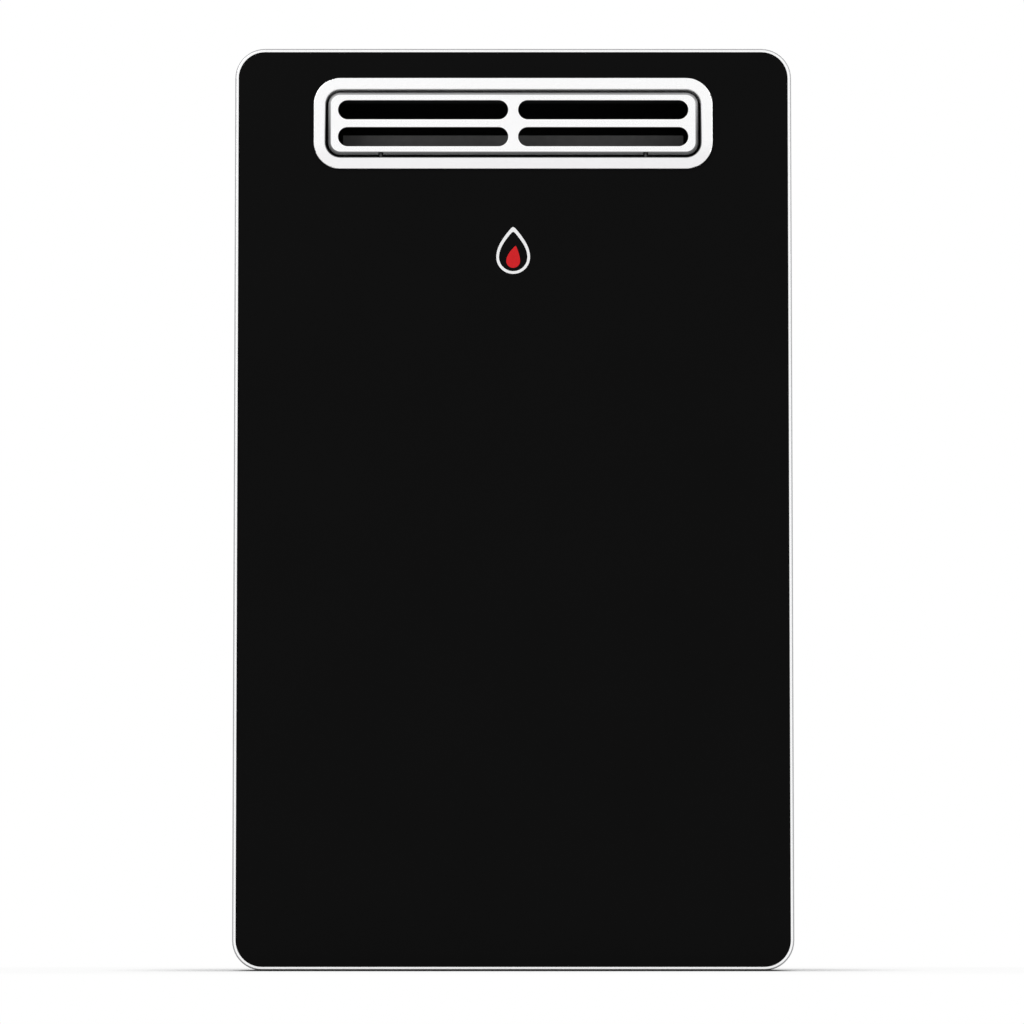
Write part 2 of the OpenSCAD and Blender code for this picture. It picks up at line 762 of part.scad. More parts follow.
// Row of pressed burner bars with a mixing tube below and a slotted head above
module burner_bars() color("silver") for (i = [0:bar_count - 1]) translate([bar_x(i), 0, 0]) difference() {
    upright(y_hx0 + 1, y_hx1 - 1) bar_form(0);
    upright(y_hx0, y_hx1 - 2) bar_form(bar_t);
    for (k = [-4:4]) block([-6, 6], [hx_y + 11 * k - 0.8, hx_y + 11 * k + 0.8], [bar_top - 3, bar_top + 1]);
}

module bar_form(t) {
    translate([0, bar_z]) circle(bar_r - t);
    area(t - 2, 2 - t, bar_z, bar_top - 8);
    area(t - 4.5, 4.5 - t, bar_top - 14 + t, bar_top - t);
}

// Square gas bar across the burner's front, screwed to it at both ends
module gas_manifold() color("silver") {
    half = bar_x(bar_count - 1) + 13;
    block([-half, half], [y_man, jet_y], [bar_z - manifold_s / 2, bar_z + manifold_s / 2]);
    for (s = [-1, 1]) scale([s, 1, 1])
        block([half - 2, half], [y_man, y_hx0], [bar_z - manifold_s / 2, bar_z + manifold_s / 2]);
}

module gas_jets() color("goldenrod") for (i = [0:bar_count - 1]) {
    translate([bar_x(i), jet_y, bar_z]) rotate([-90, 0, 0]) cylinder(r = 4.6, h = 2.4, $fn = 6);
    translate([bar_x(i), jet_y + 2.4, bar_z]) rotate([-90, 0, 0]) cylinder(r1 = 3, r2 = 1.6, h = 3);
}

// Two spark electrodes and the flame rod, in ceramic sleeves on one flange
module electrodes() color("white") {
    block([spark_x - 8, spark_x + 2 * spark_gap + 8], [y_hx0 - 1.2, y_hx0], [spark_z - 7, spark_z + 7]);
    for (k = [0:2]) rod_y(spark_x + k * spark_gap, y_hx0 - 8, spark_z, 4, 18);
}

module electrode_tips() color("gray") for (k = [0:2]) {
    x = spark_x + k * spark_gap;
    pipe([[x, y_hx0 + 10, spark_z], [x, y_hx0 + 24, spark_z], [x, y_hx0 + 24, bar_top + 3]], 1.2, 4);
}

// High-tension leads to both spark electrodes, and the flame rod's lead to the control tray
module ignition_leads() color("firebrick") {
    y = y_hx0 - 14.5;
    xs = hx_w / 2;
    for (k = [0:1]) pipe([
        [xs + 16 + 6 * k, hx_y - 8 - tower_l, bar_z + 17 + 7 * k],
        [xs + 16 + 6 * k, y, bar_z + 17 + 7 * k],
        [spark_x + k * spark_gap, y, bar_z + 17 + 7 * k],
        [spark_x + k * spark_gap, y, spark_z],
        [spark_x + k * spark_gap, y_hx0 - 8, spark_z]
    ], 2, 4);
    pipe([
        [spark_x + 2 * spark_gap, y_hx0 - 8, spark_z],
        [spark_x + 2 * spark_gap, y, spark_z],
        [spark_x + 2 * spark_gap, y, chamber_z + 8],
        [-hx_w / 2, y, chamber_z + 8],
        [-hx_w / 2, y, tray_z + tray_h]
    ], 1.5, 4);
}

// Potted box on a plate with two ears, and a tower for each high-tension lead
module spark_module() color("dimgray") {
    xs = hx_w / 2;
    translate([0, hx_y + 12, bar_z + 8]) {
        difference() {
            across(xs + 2, xs + 28) rounded_rect(40, 44, 4);
            across(xs + 26.5, xs + 29) rounded_rect(35, 39, 2);
        }
        across(xs, xs + 2) difference() {
            rounded_rect(40, 62, 4);
            for (s = [-1, 1]) translate([0, s * 26.5]) circle(2);
        }
    }
    for (k = [0:1]) rod_y(xs + 16 + 6 * k, hx_y - 8 - tower_l, bar_z + 17 + 7 * k, 3, tower_l);
}

// Volute of three growing quarters and a straight outlet on the left
module volute(t) translate([fan_x, fan_z]) {
    s = scroll_step;
    intersection() {
        circle(scroll_r + t);
        area(0, scroll_r + t, 0, scroll_r + t);
    }
    translate([-s, 0]) intersection() {
        circle(scroll_r + s + t);
        area(0, scroll_r + s + t, -scroll_r - s - t, 0);
    }
    translate([-s, s]) intersection() {
        circle(scroll_r + 2 * s + t);
        area(-scroll_r - 2 * s - t, 0, -scroll_r - 2 * s - t, 0);
    }
    area(-s, 0, -scroll_r - s - t, scroll_r + t);
    area(-scroll_r - 3 * s - t, 0, s, scroll_r - 6);
    area(-scroll_r - 3 * s - t, t - 12, s, burner_z - fan_z);
}

// Fan housing with rolled seams, a bell mouth in front, a shaft hole behind and feet on the plate
module fan_scroll() color("silver") {
    scroll_shell();
    translate([fan_x, y_fan, fan_z]) rotate([90, 0, 0]) rotate_extrude() union() {
        area(inlet_r, inlet_r + 2 * bell_r, 0, 2 * bell_r);
        translate([inlet_r + bell_r, 2 * bell_r]) circle(bell_r);
    }
}

module scroll_shell() difference() {
    union() {
        upright(y_fan, y_fan1) volute(0);
        for (y = [y_fan, y_fan1 - seam_t]) upright(y, y + seam_t) volute(seam_w);
        for (x = [fan_x - 46, fan_x + 26], y = [y_fan, y_fan1 - 12])
            block([x, x + 20], [y, y + 12], [plate_top, fan_z - scroll_r + 16]);
    }
    upright(y_fan + 1, y_fan1 - 1) volute(-1);
    translate([0, 0, burner_z - 3]) linear_extrude(4) duct_area(-1);
    rod_y(fan_x, y_fan - 1, fan_z, inlet_r, 4);
    rod_y(fan_x, y_fan1 - 2, fan_z, shaft_r + 3, 4);
}

// Flat motor on the back of the fan housing, with a vented end and a plug at its side
module fan_motor() color("dimgray") difference() {
    union() {
        rod_y(fan_x, y_fan1, fan_z, can_r, motor_l - 8);
        translate([fan_x, y_fan1 + motor_l - 8, fan_z]) rotate([-90, 0, 0])
            cylinder(r1 = can_r, r2 = can_r - 4, h = 4);
        rod_y(fan_x, y_fan1 + motor_l - 4, fan_z, 14, 4);
        block([fan_x - can_r - 8, fan_x - can_r + 6], [y_fan1 + 3, y_fan1 + 13], [fan_z - 8, fan_z + 8]);
        for (a = [45:90:315]) translate([fan_x, 0, fan_z]) rotate([0, a, 0])
            block([fan_r - 16, fan_r - 4], [y_fan1, y_fan1 + 3], [-6, 6]);
    }
    for (a = [0:30:330]) translate([fan_x, 0, fan_z]) rotate([0, a, 0])
        block([18, can_r - 9], [y_fan1 + motor_l - 7, y_fan1 + motor_l], [-1.5, 1.5]);
    rod_y(fan_x, y_fan1 - 1, fan_z, shaft_r + bearing_gap, motor_l - 1);
}

// Cage of forward-curved blades on a back plate with a hub
module fan_impeller() color("slategray") {
    difference() {
        union() {
            rod_y(fan_x, wheel_y1 - 1.5, fan_z, fan_r, 1.5);
            rod_y(fan_x, wheel_y1 - 18, fan_z, 9, 18);
        }
        rod_y(fan_x, wheel_y1 - 19, fan_z, shaft_r, 21);
    }
    upright(wheel_y, wheel_y + 1.5) translate([fan_x, fan_z]) difference() {
        circle(fan_r);
        circle(fan_r - 4);
    }
    upright(wheel_y + 1.5, wheel_y1 - 1.5) translate([fan_x, fan_z])
        for (k = [0:blade_count - 1]) rotate(360 / blade_count * k) blade();
}

// One blade as a thin arc between the inner and outer radius of the cage
module blade() intersection() {
    translate([fan_r - 5, 5]) difference() {
        circle(7);
        circle(6);
    }
    difference() {
        circle(fan_r - 0.4);
        circle(fan_r - 10);
    }
    area(0, fan_r, -5, 5);
}

module fan_shaft() color("silver") rod_y(fan_x, wheel_y1 - 20, fan_z, shaft_r, 20 + 4.5 + motor_l - 3);

// Threaded stub through the bottom plate, with a flange on top of it and a hexagon above
module stub_form(x) {
    rod_z(x, fit_y, stub_z, stub_r, stub_l);
    rod_z(x, fit_y, stub_z + stub_l, stub_r - 0.3, nut_h + plate_t);
    rod_z(x, fit_y, plate_top, flange_r, flange_t);
    translate([x, fit_y, fit_top - hex_h]) rotate(30) cylinder(r = hex_r, h = hex_h, $fn = 6);
}

module gas_fitting() color("goldenrod") difference() {
    union() {
        stub_form(gas_x);
        rod_z(gas_x, fit_y, plate_top, 16, fit_top - plate_top);
    }
    rod_z(gas_x, fit_y, stub_z - 1, stub_r - 3.2, 30);
}

// Fitting body with a branch to the plug at its back and a boss for the sensor at its front
module water_form(x) {
    stub_form(x);
    rod_z(x, fit_y, plate_top, 17, fit_top - plate_top);
    rod_y(x, fit_y, plate_top + 14, 9, plug_y - fit_y);
    rod_z(x, plug_y, plate_top, 13, 26);
    rod_y(x, fit_y - 24, plate_top + 19, 7, 24);
}

module water_ways(x) {
    rod_z(x, fit_y, stub_z - 1, stub_r - 3.2, 40);
    rod_z(x, plug_y, plate_top - 1, 8, 20);
}

module cold_fitting() color("goldenrod") difference() {
    water_form(cold_x);
    water_ways(cold_x);
}

module hot_fitting() color("goldenrod") difference() {
    union() {
        water_form(hot_x);
        rod_z(hot_x, fit_y, fit_top, pipe_r + 4, socket_d + 2);
    }
    water_ways(hot_x);
    rod_z(hot_x, fit_y, fit_top + 2, pipe_r + socket_gap, socket_d + 1);
}

// Hexagon nuts that clamp the stubs to the bottom plate
module fitting_nuts() color("goldenrod") for (x = [hot_x, gas_x, cold_x]) difference() {
    translate([x, fit_y, bay_h - nut_h]) rotate(30) cylinder(r = stub_r + 5, h = nut_h, $fn = 6);
    rod_z(x, fit_y, bay_h - nut_h - 1, stub_r + 0.05, nut_h + 2);
}

// Filter and relief plugs with a coin slot, reached from the bay
module water_plugs() color("dimgray") for (x = [hot_x, cold_x]) difference() {
    union() {
        rod_z(x, plug_y, bay_h - 16, 10, 16 + plate_t);
        rod_z(x, plug_y, bay_h - 22, 7, 6);
        rod_z(x, plug_y, plate_top, 7.9, 12);
    }
    flutes(x, plug_y, bay_h - 17, 14, 12, 10.8);
    block([x - 1, x + 1], [plug_y - 8, plug_y + 8], [bay_h - 23, bay_h - 20]);
}

// Ring of upright grip flutes
module flutes(x, y, z, l, count, r) for (k = [0:count - 1])
    translate([x, y, z]) rotate(360 / count * k) translate([r, 0, 0]) cylinder(r = 1.3, h = l);

module flange_screws() color("silver") for (x = [hot_x, gas_x, cold_x], s = [-1, 1])
    rod_z(x + s * 14, fit_y - 14, plate_top + flange_t, 2, 2);

// Flow sensor housing between the cold fitting and the cold pipe
module flow_sensor() color("dimgray") difference() {
    union() {
        rod_z(cold_x, fit_y, fit_top, 17, sensor_h - 14);
        rod_z(cold_x, fit_y, fit_top, pipe_r + 5, sensor_h);
        block([cold_x - 10, cold_x + 10], [fit_y - 24, fit_y - 10], [fit_top + 10, fit_top + 26]);
    }
    rod_z(cold_x, fit_y, fit_top - 1, rotor_r + 1, sensor_h - 17);
    rod_z(cold_x, fit_y, fit_top, 4, sensor_h);
    rod_z(cold_x, fit_y, sensor_z - socket_d, pipe_r + socket_gap, socket_d + 1);
}

// Spoked discs that hold the rotor's axle
module flow_carriers() color("white") for (z = [fit_top, fit_top + 29]) difference() {
    rod_z(cold_x, fit_y, z, rotor_r + 0.9, 4);
    rod_z(cold_x, fit_y, z - 1, 1 + bearing_gap, 6);
    for (a = [0:90:270]) translate([cold_x, fit_y, 0]) rotate(a) translate([rotor_r / 2 + 0.6, 0, z - 1])
        cylinder(r = rotor_r / 4, h = 6);
}

// Small turbine on an axle
module flow_rotor() color("white") {
    rod_z(cold_x, fit_y, fit_top + 1, 1, 31);
    rod_z(cold_x, fit_y, fit_top + 5, 3.2, 23);
    for (a = [0:60:300]) translate([cold_x, fit_y, fit_top + 16.5]) rotate(a) rotate([35, 0, 0])
        block([2.6, rotor_r - 0.5], [-0.6, 0.6], [-8, 8]);
}

// Temperature probes in the fittings' bosses
module water_sensors() color("dimgray") for (x = [hot_x, cold_x]) {
    translate([x, fit_y - 28, plate_top + 19]) rotate([-90, 0, 0]) cylinder(r = 6.4, h = 4, $fn = 6);
    rod_y(x, fit_y - 35, plate_top + 19, 4.2, 7);
}

// Ceramic heaters clipped beside the pipes
module frost_heaters() color("white") {
    frost_heater(hot_drop - pipe_r - 6, burner_z + 8, 35);
    frost_heater(cold_x + pipe_r + 6, sensor_z + 16, 32);
}

// Ceramic bar with a groove for its clip near each end
module frost_heater(x, z, l) translate([x, fit_y, z]) difference() {
    linear_extrude(l) rounded_rect(11, 16, 3);
    for (s = [6, l - 9]) translate([0, 0, s]) linear_extrude(3) difference() {
        rounded_rect(14, 19, 3);
        rounded_rect(9.6, 14.6, 2.3);
    }
}

// Open tray with four board posts, a notch below each plug and two legs on the bottom plate
module control_tray() color("whitesmoke") {
    x1 = tray_x + tray_w;
    z1 = tray_z + tray_h;
    difference() {
        upright(tray_y0, tray_y1) tray_outline(0);
        upright(tray_y0 - 1, tray_y1 - tray_t) tray_outline(tray_t);
        for (k = [0:3]) translate([tray_x + board_in + plug_x + plug_pitch * k, 0, 0])
            block([2, plug_w - 2], [tray_y0 - 1, tray_y0 + 8], [tray_z - 1, tray_z + tray_t + 1]);
    }
    for (x = [tray_x + 9, x1 - 9], z = [tray_z + 9, z1 - 9]) rod_y(x, board_y + 1.6, z, 3, 5);
    for (x = [tray_x + 6, x1 - 13]) block([x, x + 8], [tray_y1 - 8, tray_y1], [plate_top, tray_z]);
}

module tray_outline(t) translate([tray_x + tray_w / 2, tray_z + tray_h / 2])
    rounded_rect(tray_w - 2 * t, tray_h - 2 * t, tray_r - t);

module control_board() color("seagreen") block(
    [tray_x + board_in, tray_x + tray_w - board_in], [board_y, board_y + 1.6],
    [tray_z + board_in, tray_z + tray_h - board_in]);

// Transformer, relays, capacitors, heat sink, processor and plugs on the board
module board_parts() color("dimgray") translate([tray_x + board_in, board_y, tray_z + board_in]) {
    block([6, 34], [-8, 0], [63, 81]);
    block([11, 29], [-11, 0], [58, 86]);
    for (k = [0:2]) block([42, 60], [-10, 0], [50 + 14 * k, 61 + 14 * k]);
    for (k = [0:2]) rod_y(68, -10, 54 + 14 * k, 4.5, 10);
    block([8, 38], [-2, 0], [36, 50]);
    for (k = [0:6]) block([8 + 4.75 * k, 9.5 + 4.75 * k], [-10, 0], [36, 50]);
    block([44, 58], [-1.6, 0], [24, 38]);
    for (k = [0:3]) translate([plug_x + plug_pitch * k, 0, 4]) difference() {
        block([0, plug_w], [-8, 0], [0, 8]);
        block([1.2, plug_w - 1.2], [-9, -3], [1.2, 6.8]);
    }
}

// Sleeved loom to the gas coils, and the leads of the thermostat, the sensors and the fan motor
module wiring_loom() color("dimgray") {
    tray_x1 = tray_x + tray_w;
    coil_top = coil_z + coil_r + 7;
    y_low = fit_y - 31.5;
    low_run = fit_top - 4;
    pipe([
        [tray_x1 - 13, y_gas, tray_z + tray_h],
        [tray_x1 - 13, y_gas, bar_z - manifold_s / 2 - 9],
        [gas_x - coil_off, y_gas, bar_z - manifold_s / 2 - 9],
        [gas_x - coil_off, y_gas, coil_top]
    ], 3, 8);
    pipe([
        [gas_x - coil_off, y_gas, coil_top + 8],
        [gas_x + coil_off, y_gas, coil_top + 8],
        [gas_x + coil_off, y_gas, coil_top]
    ], lead_r, lead_bend);
    for (s = [-1, 1]) pipe([
        [1.75 * s - 5.25 - hx_w / 2, y_lead, tray_z + tray_h],
        [1.75 * s - 5.25 - hx_w / 2, y_lead, chamber_z + 18 - 2 * s],
        [s * 4, y_lead, chamber_z + 18 - 2 * s],
        [s * 4, y_lead, switch_z - 2.5]
    ], lead_r, lead_bend);
    rod_z(hot_x, fit_y - 29.5, plate_top + 23.2, lead_r, tray_z + board_in + 4 - plate_top - 23.2);
    pipe([
        [cold_x, y_low, plate_top + 23.2],
        [cold_x, y_low, low_run],
        [tray_x1 + 8, y_low, low_run],
        [tray_x1 + 8, y_low, tray_z + 8],
        [tray_x1, y_low, tray_z + 8]
    ], lead_r, lead_bend);
    pipe([
        [cold_x + 4, fit_y - 24, fit_top + 18],
        [cold_x + 4, y_low, fit_top + 18],
        [cold_x + 4, y_low, low_run + 3.4],
        [tray_x1 + 12, y_low, low_run + 3.4],
        [tray_x1 + 12, y_low, tray_z + 18],
        [tray_x1, y_low, tray_z + 18]
    ], lead_r, lead_bend);
    pipe([
        [hot_x - 14, tray_y1, fan_z],
        [hot_x - 14, y_fan1 + 8, fan_z],
        [fan_x - can_r - 8, y_fan1 + 8, fan_z]
    ], lead_r, lead_bend);
}

// Cast gas valve with flanged ends, a regulator cap, two test nipples and the plungers' guides
module gas_valve() color("lightgray") difference() {
    union() {
        translate([gas_x, (valve_y0 + valve_y1) / 2, fit_top]) {
            linear_extrude(valve_top - fit_top) rounded_rect(valve_w, valve_d, 4);
            for (z = [0, valve_top - fit_top - 5]) translate([0, 0, z]) linear_extrude(5)
                rounded_rect(valve_w + 6, valve_d + 4, 6);
            for (k = [0:2]) block([-valve_w / 2 - 3, 0], [-11, 11], [17 + 11 * k, 20 + 11 * k]);
        }
        rod_x(gas_x, fit_y + 3, coil_z + 6, 11, valve_w / 2 + 5);
        rod_x(gas_x, fit_y + 3, coil_z + 6, 7, valve_w / 2 + 9);
        for (s = [-1, 1]) rod_y(gas_x + s * coil_off, valve_y0 - 4, fit_top + 8.4, 2.2, 6);
        rod_z(gas_x, fit_y, valve_top, pipe_r + 4.5, 8);
        for (s = [-1, 1]) rod_y(gas_x + s * coil_off, coil_y, coil_z, guide_r, valve_y0 - coil_y + 1);
    }
    for (s = [-1, 1])
        rod_y(gas_x + s * coil_off, coil_y + 1.5, coil_z, plunger_r + plunger_gap, valve_y0 - coil_y + 10);
    rod_z(gas_x, fit_y, valve_top - 2, pipe_r + socket_gap, 11);
}

// Solenoid coils pushed over the guides, each with its plug on top
module gas_coils() color("dimgray") for (s = [-1, 1]) difference() {
    union() {
        rod_y(gas_x + s * coil_off, coil_y + 1, coil_z, coil_r, valve_y0 - coil_y - 1);
        block([gas_x + s * coil_off - 6, gas_x + s * coil_off + 6], [coil_y + 3, valve_y0],
            [coil_z, coil_z + coil_r + 7]);
    }
    rod_y(gas_x + s * coil_off, coil_y, coil_z, guide_r + 0.15, 30);
}

module plunger(x) color("silver") {
    y0 = coil_y + 1.5 + plunger_travel + 0.4;
    rod_y(x, y0, coil_z, plunger_r, valve_y0 + 9.5 - y0);
}

module main_plunger() plunger(gas_x - coil_off);

module modulating_plunger() plunger(gas_x + coil_off);

module gas_pipe() color("silver") tube([
    [gas_x, fit_y, valve_top - 2],
    [gas_x, fit_y, gas_turn],
    [gas_x, y_gas, gas_turn],
    [gas_x, y_gas, bar_z - manifold_s / 2]
], pipe_r, bend_r);

// Cable gland with a fluted dome nut and a hexagon collar below the plate and a nut above
module power_gland() color("dimgray") difference() {
    union() {
        rod_z(gland_x, gland_y, bay_h - 8, 8, 8 + plate_t + 8);
        translate([gland_x, gland_y, bay_h - 6]) cylinder(r = 12, h = 6, $fn = 6);
        translate([gland_x, gland_y, plate_top]) cylinder(r = 12, h = 5, $fn = 6);
        translate([gland_x, gland_y, bay_h - 20]) cylinder(r1 = 7, r2 = 10, h = 12);
    }
    flutes(gland_x, gland_y, bay_h - 21, 13, 10, 10);
    rod_z(gland_x, gland_y, bay_h - 21, gland_r, 40);
}

module controller_grommet() color("dimgray") difference() {
    union() {
        rod_z(grommet_x, grommet_y, bay_h - 3, 9, 3);
        rod_z(grommet_x, grommet_y, bay_h, 6.1, plate_t);
        rod_z(grommet_x, grommet_y, plate_top, 9, 3);
    }
    rod_z(grommet_x, grommet_y, bay_h - 4, grommet_r, 12);
}
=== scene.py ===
import math

import bmesh
import bpy
from mathutils import Matrix, Vector


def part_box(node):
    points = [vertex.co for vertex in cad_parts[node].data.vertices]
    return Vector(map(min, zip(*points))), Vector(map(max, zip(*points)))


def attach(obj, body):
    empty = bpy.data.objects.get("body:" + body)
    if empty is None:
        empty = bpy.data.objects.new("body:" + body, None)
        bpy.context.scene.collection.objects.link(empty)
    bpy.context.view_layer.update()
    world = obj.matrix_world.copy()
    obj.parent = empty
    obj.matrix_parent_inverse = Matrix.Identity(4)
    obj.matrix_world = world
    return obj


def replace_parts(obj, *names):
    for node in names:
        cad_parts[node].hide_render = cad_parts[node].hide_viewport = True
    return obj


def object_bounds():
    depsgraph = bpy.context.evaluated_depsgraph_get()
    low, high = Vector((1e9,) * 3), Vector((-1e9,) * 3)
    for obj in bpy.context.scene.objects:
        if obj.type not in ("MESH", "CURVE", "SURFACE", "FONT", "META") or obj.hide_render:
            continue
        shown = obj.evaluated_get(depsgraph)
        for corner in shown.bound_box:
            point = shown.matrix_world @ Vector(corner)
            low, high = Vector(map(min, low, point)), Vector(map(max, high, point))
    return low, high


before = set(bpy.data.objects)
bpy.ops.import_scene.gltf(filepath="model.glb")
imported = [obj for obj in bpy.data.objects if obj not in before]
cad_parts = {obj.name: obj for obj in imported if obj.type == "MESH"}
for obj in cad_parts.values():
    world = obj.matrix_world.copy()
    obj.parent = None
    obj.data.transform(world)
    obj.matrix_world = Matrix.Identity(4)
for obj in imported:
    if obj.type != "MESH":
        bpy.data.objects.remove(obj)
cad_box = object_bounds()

# Studio: the heater stands on a white floor in white surroundings, lit by a large soft lamp at the
# upper left and weaker ones at the right and behind. The camera is long, low and square to the front.
camera_height = 0.020
camera_distance = 3.515
camera_sideways = -0.00075
camera_pitch = 0.07675
camera_lens = 195.07
camera_film = 36
front_plane = -0.081
room_light = 0.62
floor_gap = 0.0004
floor_half = 9
floor_cells = 4
shade_middle = 0.045
shade_half = 0.105
shade_near = 0.1
shade_far = 0.5
near_share = 0.86
# The floor's own grey is darkened under and just round the heater's footprint: a painted contact shadow.
painted_shadow_inset = 0.014
painted_shadow_fade = 0.02
painted_shadow_grey = 0.15
open_grey = 0.94
crease_angle = math.radians(38)


class Signal:
    """One shader socket. Arithmetic on it adds Math nodes, and node() adds any other node."""

    def __init__(self, tree, socket=None):
        self.tree = tree
        self.socket = socket

    def node(self, kind, settings=None, sockets=None, output=0):
        made = self.tree.nodes.new("ShaderNode" + kind)
        for name, value in (settings or {}).items():
            if name == "stops":
                ramp = made.color_ramp.elements
                while len(ramp) < len(value):
                    ramp.new(0.5)
                for stop, (place, colour) in zip(ramp, value):
                    stop.position = place
                    stop.color = (*colour, 1)
            else:
                setattr(made, name, value)
        for name, value in (sockets or {}).items():
            if isinstance(value, Signal):
                self.tree.links.new(value.socket, made.inputs[name])
            else:
                made.inputs[name].default_value = value
        return Signal(self.tree, made.outputs[output])

    def math(self, operation, *values):
        return self.node("Math", {"operation": operation}, dict(enumerate(values)))

    def __add__(self, other):
        return self.math("ADD", self, other)

    def __sub__(self, other):
        return self.math("SUBTRACT", self, other)

    def __rsub__(self, other):
        return self.math("SUBTRACT", other, self)

    def __mul__(self, other):
        return self.math("MULTIPLY", self, other)

    __radd__ = __add__
    __rmul__ = __mul__


def sees_white(start):
    """1 for the rays that show the white surroundings: from the camera, off gloss and through glass."""
    path = start.node("LightPath").socket.node.outputs
    kinds = ("Is Camera Ray", "Is Glossy Ray", "Is Transmission Ray")
    direct, glossy, through = (Signal(start.tree, path[kind]) for kind in kinds)
    return direct.math("MAXIMUM", direct.math("MAXIMUM", direct, glossy), through)


def make_piece(name, shape, finish):
    """Turns a bmesh into an object at the origin with one finish."""
    mesh = bpy.data.meshes.new(name)
    shape.to_mesh(mesh)
    shape.free()
    mesh.materials.append(finish)
    mesh.shade_smooth()
    mesh.set_sharp_from_angle(angle=crease_angle)
    piece = bpy.data.objects.new(name, mesh)
    bpy.context.scene.collection.objects.link(piece)
    return piece


def fade(signal, low, high):
    """0 below low and 1 above high, with a smooth step between."""
    sockets = {"Value": signal, "From Min": low, "From Max": high}
    return signal.node("MapRange", {"interpolation_type": "SMOOTHSTEP"}, sockets)


def axis_of(start, axis):
    """One of the Object coordinates, in metres."""
    place = start.node("TexCoord", output="Object")
    return start.node("SeparateXYZ", sockets={"Vector": place}, output=axis)


def outside(start, *spans):
    """How far a point lies outside a rectangle, whose sides are each an axis, a middle and a half."""
    square = 0
    for axis, middle, half in spans:
        reach = axis_of(start, axis) - middle
        reach = reach.math("MAXIMUM", reach.math("ABSOLUTE", reach) - half, 0)
        square = reach * reach + square
    return start.math("SQRT", square)


scene = bpy.context.scene
scene.view_settings.view_transform = "Standard"
camera = bpy.data.objects.new("camera", bpy.data.cameras.new("camera"))
camera.data.lens = camera_lens
camera.data.sensor_width = camera_film
camera.location = (camera_sideways, front_plane - camera_distance, camera_height)
camera.rotation_euler = (math.pi / 2 + camera_pitch, 0, 0)
scene.collection.objects.link(camera)
scene.camera = camera

surroundings = bpy.data.worlds.new("surroundings")
surroundings.use_nodes = True
sky = Signal(surroundings.node_tree)
sky_output = surroundings.node_tree.nodes["World Output"]
sky_strength = sees_white(sky) * (1 - room_light) + room_light
white_sky = sky.node("Background", sockets={"Color": (1, 1, 1, 1), "Strength": sky_strength})
sky.tree.links.new(white_sky.socket, sky_output.inputs["Surface"])
scene.world = surroundings

for lamp_name, lamp_place, lamp_size, lamp_power in (
    ("soft_lamp_left", (-1.7, -2.4, 2.1), 1.6, 30),
    ("soft_lamp_right", (2.0, -1.9, 1.3), 1.4, 12),
    ("soft_lamp_back", (0.8, 2.2, 1.9), 1.4, 10),
):
    lamp = bpy.data.lights.new(lamp_name, "AREA")
    lamp.size = lamp_size
    lamp.energy = lamp_power
    stand = bpy.data.objects.new(lamp_name, lamp)
    stand.location = lamp_place
    aim = (cad_box[0] + cad_box[1]) / 2 - Vector(lamp_place)
    stand.rotation_euler = aim.to_track_quat("-Z", "Y").to_euler()
    scene.collection.objects.link(stand)

floor_paint = bpy.data.materials.new("floor_paint")
floor_paint.use_nodes = True
floor = Signal(floor_paint.node_tree)
foot_x, foot_y = cad_box[1].x, cad_box[1].y
floor_shade = outside(floor, ("X", 0, foot_x), ("Y", shade_middle, shade_half))
# Painted contact shadow: the floor's diffuse grey falls from open_grey to a dark grey under the heater.
painted_shadow_reach = outside(floor, ("X", 0, foot_x - painted_shadow_inset), ("Y", 0, foot_y - painted_shadow_inset))
near_open = fade(floor_shade, 0, shade_near) * near_share
far_open = fade(floor_shade, shade_near / 2, shade_far) * (1 - near_share)
floor_shine = sees_white(floor) * (near_open + far_open)
floor_grey_with_painted_shadow = painted_shadow_grey + fade(painted_shadow_reach, 0, painted_shadow_fade) * (open_grey - painted_shadow_grey)
floor_matt = floor.node("BsdfDiffuse", sockets={"Color": floor_grey_with_painted_shadow})
floor_white = floor.node("Emission")
floor_top = floor.node("MixShader", sockets={0: floor_shine, 1: floor_matt, 2: floor_white})
floor_under = floor.node("NewGeometry", output="Backfacing")
floor_clear = floor.node("BsdfTransparent")
floor_shown = floor.node("MixShader", sockets={0: floor_under, 1: floor_top, 2: floor_clear})
floor_output = floor_paint.node_tree.nodes["Material Output"]
floor.tree.links.new(floor_shown.socket, floor_output.inputs["Surface"])
sweep = bmesh.new()
bmesh.ops.create_grid(sweep, x_segments=floor_cells, y_segments=floor_cells, size=floor_half)
bmesh.ops.translate(sweep, verts=sweep.verts, vec=(0, 0, cad_box[0].z - floor_gap))
make_piece("floor", sweep, floor_paint)

# Cover and chassis: two deep-drawn steel pans, the cover lapped over the chassis's lip, in a
# silver-grey powder coat with fine flake and a slight orange peel.
coat_dark = (0.47, 0.48, 0.49)
coat_light = (0.68, 0.69, 0.70)
coat_flake = 0.00035
coat_peel = 0.0022
coat_cloud = 0.12
peel_depth = 0.00006


def new_finish(name, **fixed):
    """A material whose shader has these fixed values, and the signal that its nodes grow from."""
    finish = bpy.data.materials.new(name)
    finish.use_nodes = True
    shader = finish.node_tree.nodes["Principled BSDF"]
    for socket, value in fixed.items():
        shader.inputs[socket.replace("_", " ")].default_value = value
    return finish, shader, Signal(finish.node_tree)


def feed(shader, signals):
    """Links signals to the shader's sockets."""
    for socket, signal in signals.items():
        signal.tree.links.new(signal.socket, shader.inputs[socket])


def place_on(start, stretch=(1, 1, 1)):
    """Object coordinates, stretched by a factor along each axis."""
    place = start.node("TexCoord", output="Object")
    shrink = tuple(1 / s for s in stretch)
    return start.node("Mapping", sockets={"Vector": place, "Scale": shrink})


def grain(place, size, detail=2.0):
    """Soft noise from 0 to 1 whose lumps are about this size in metres."""
    sockets = {"Vector": place, "Scale": 1 / size, "Detail": detail}
    return place.node("TexNoise", sockets=sockets)


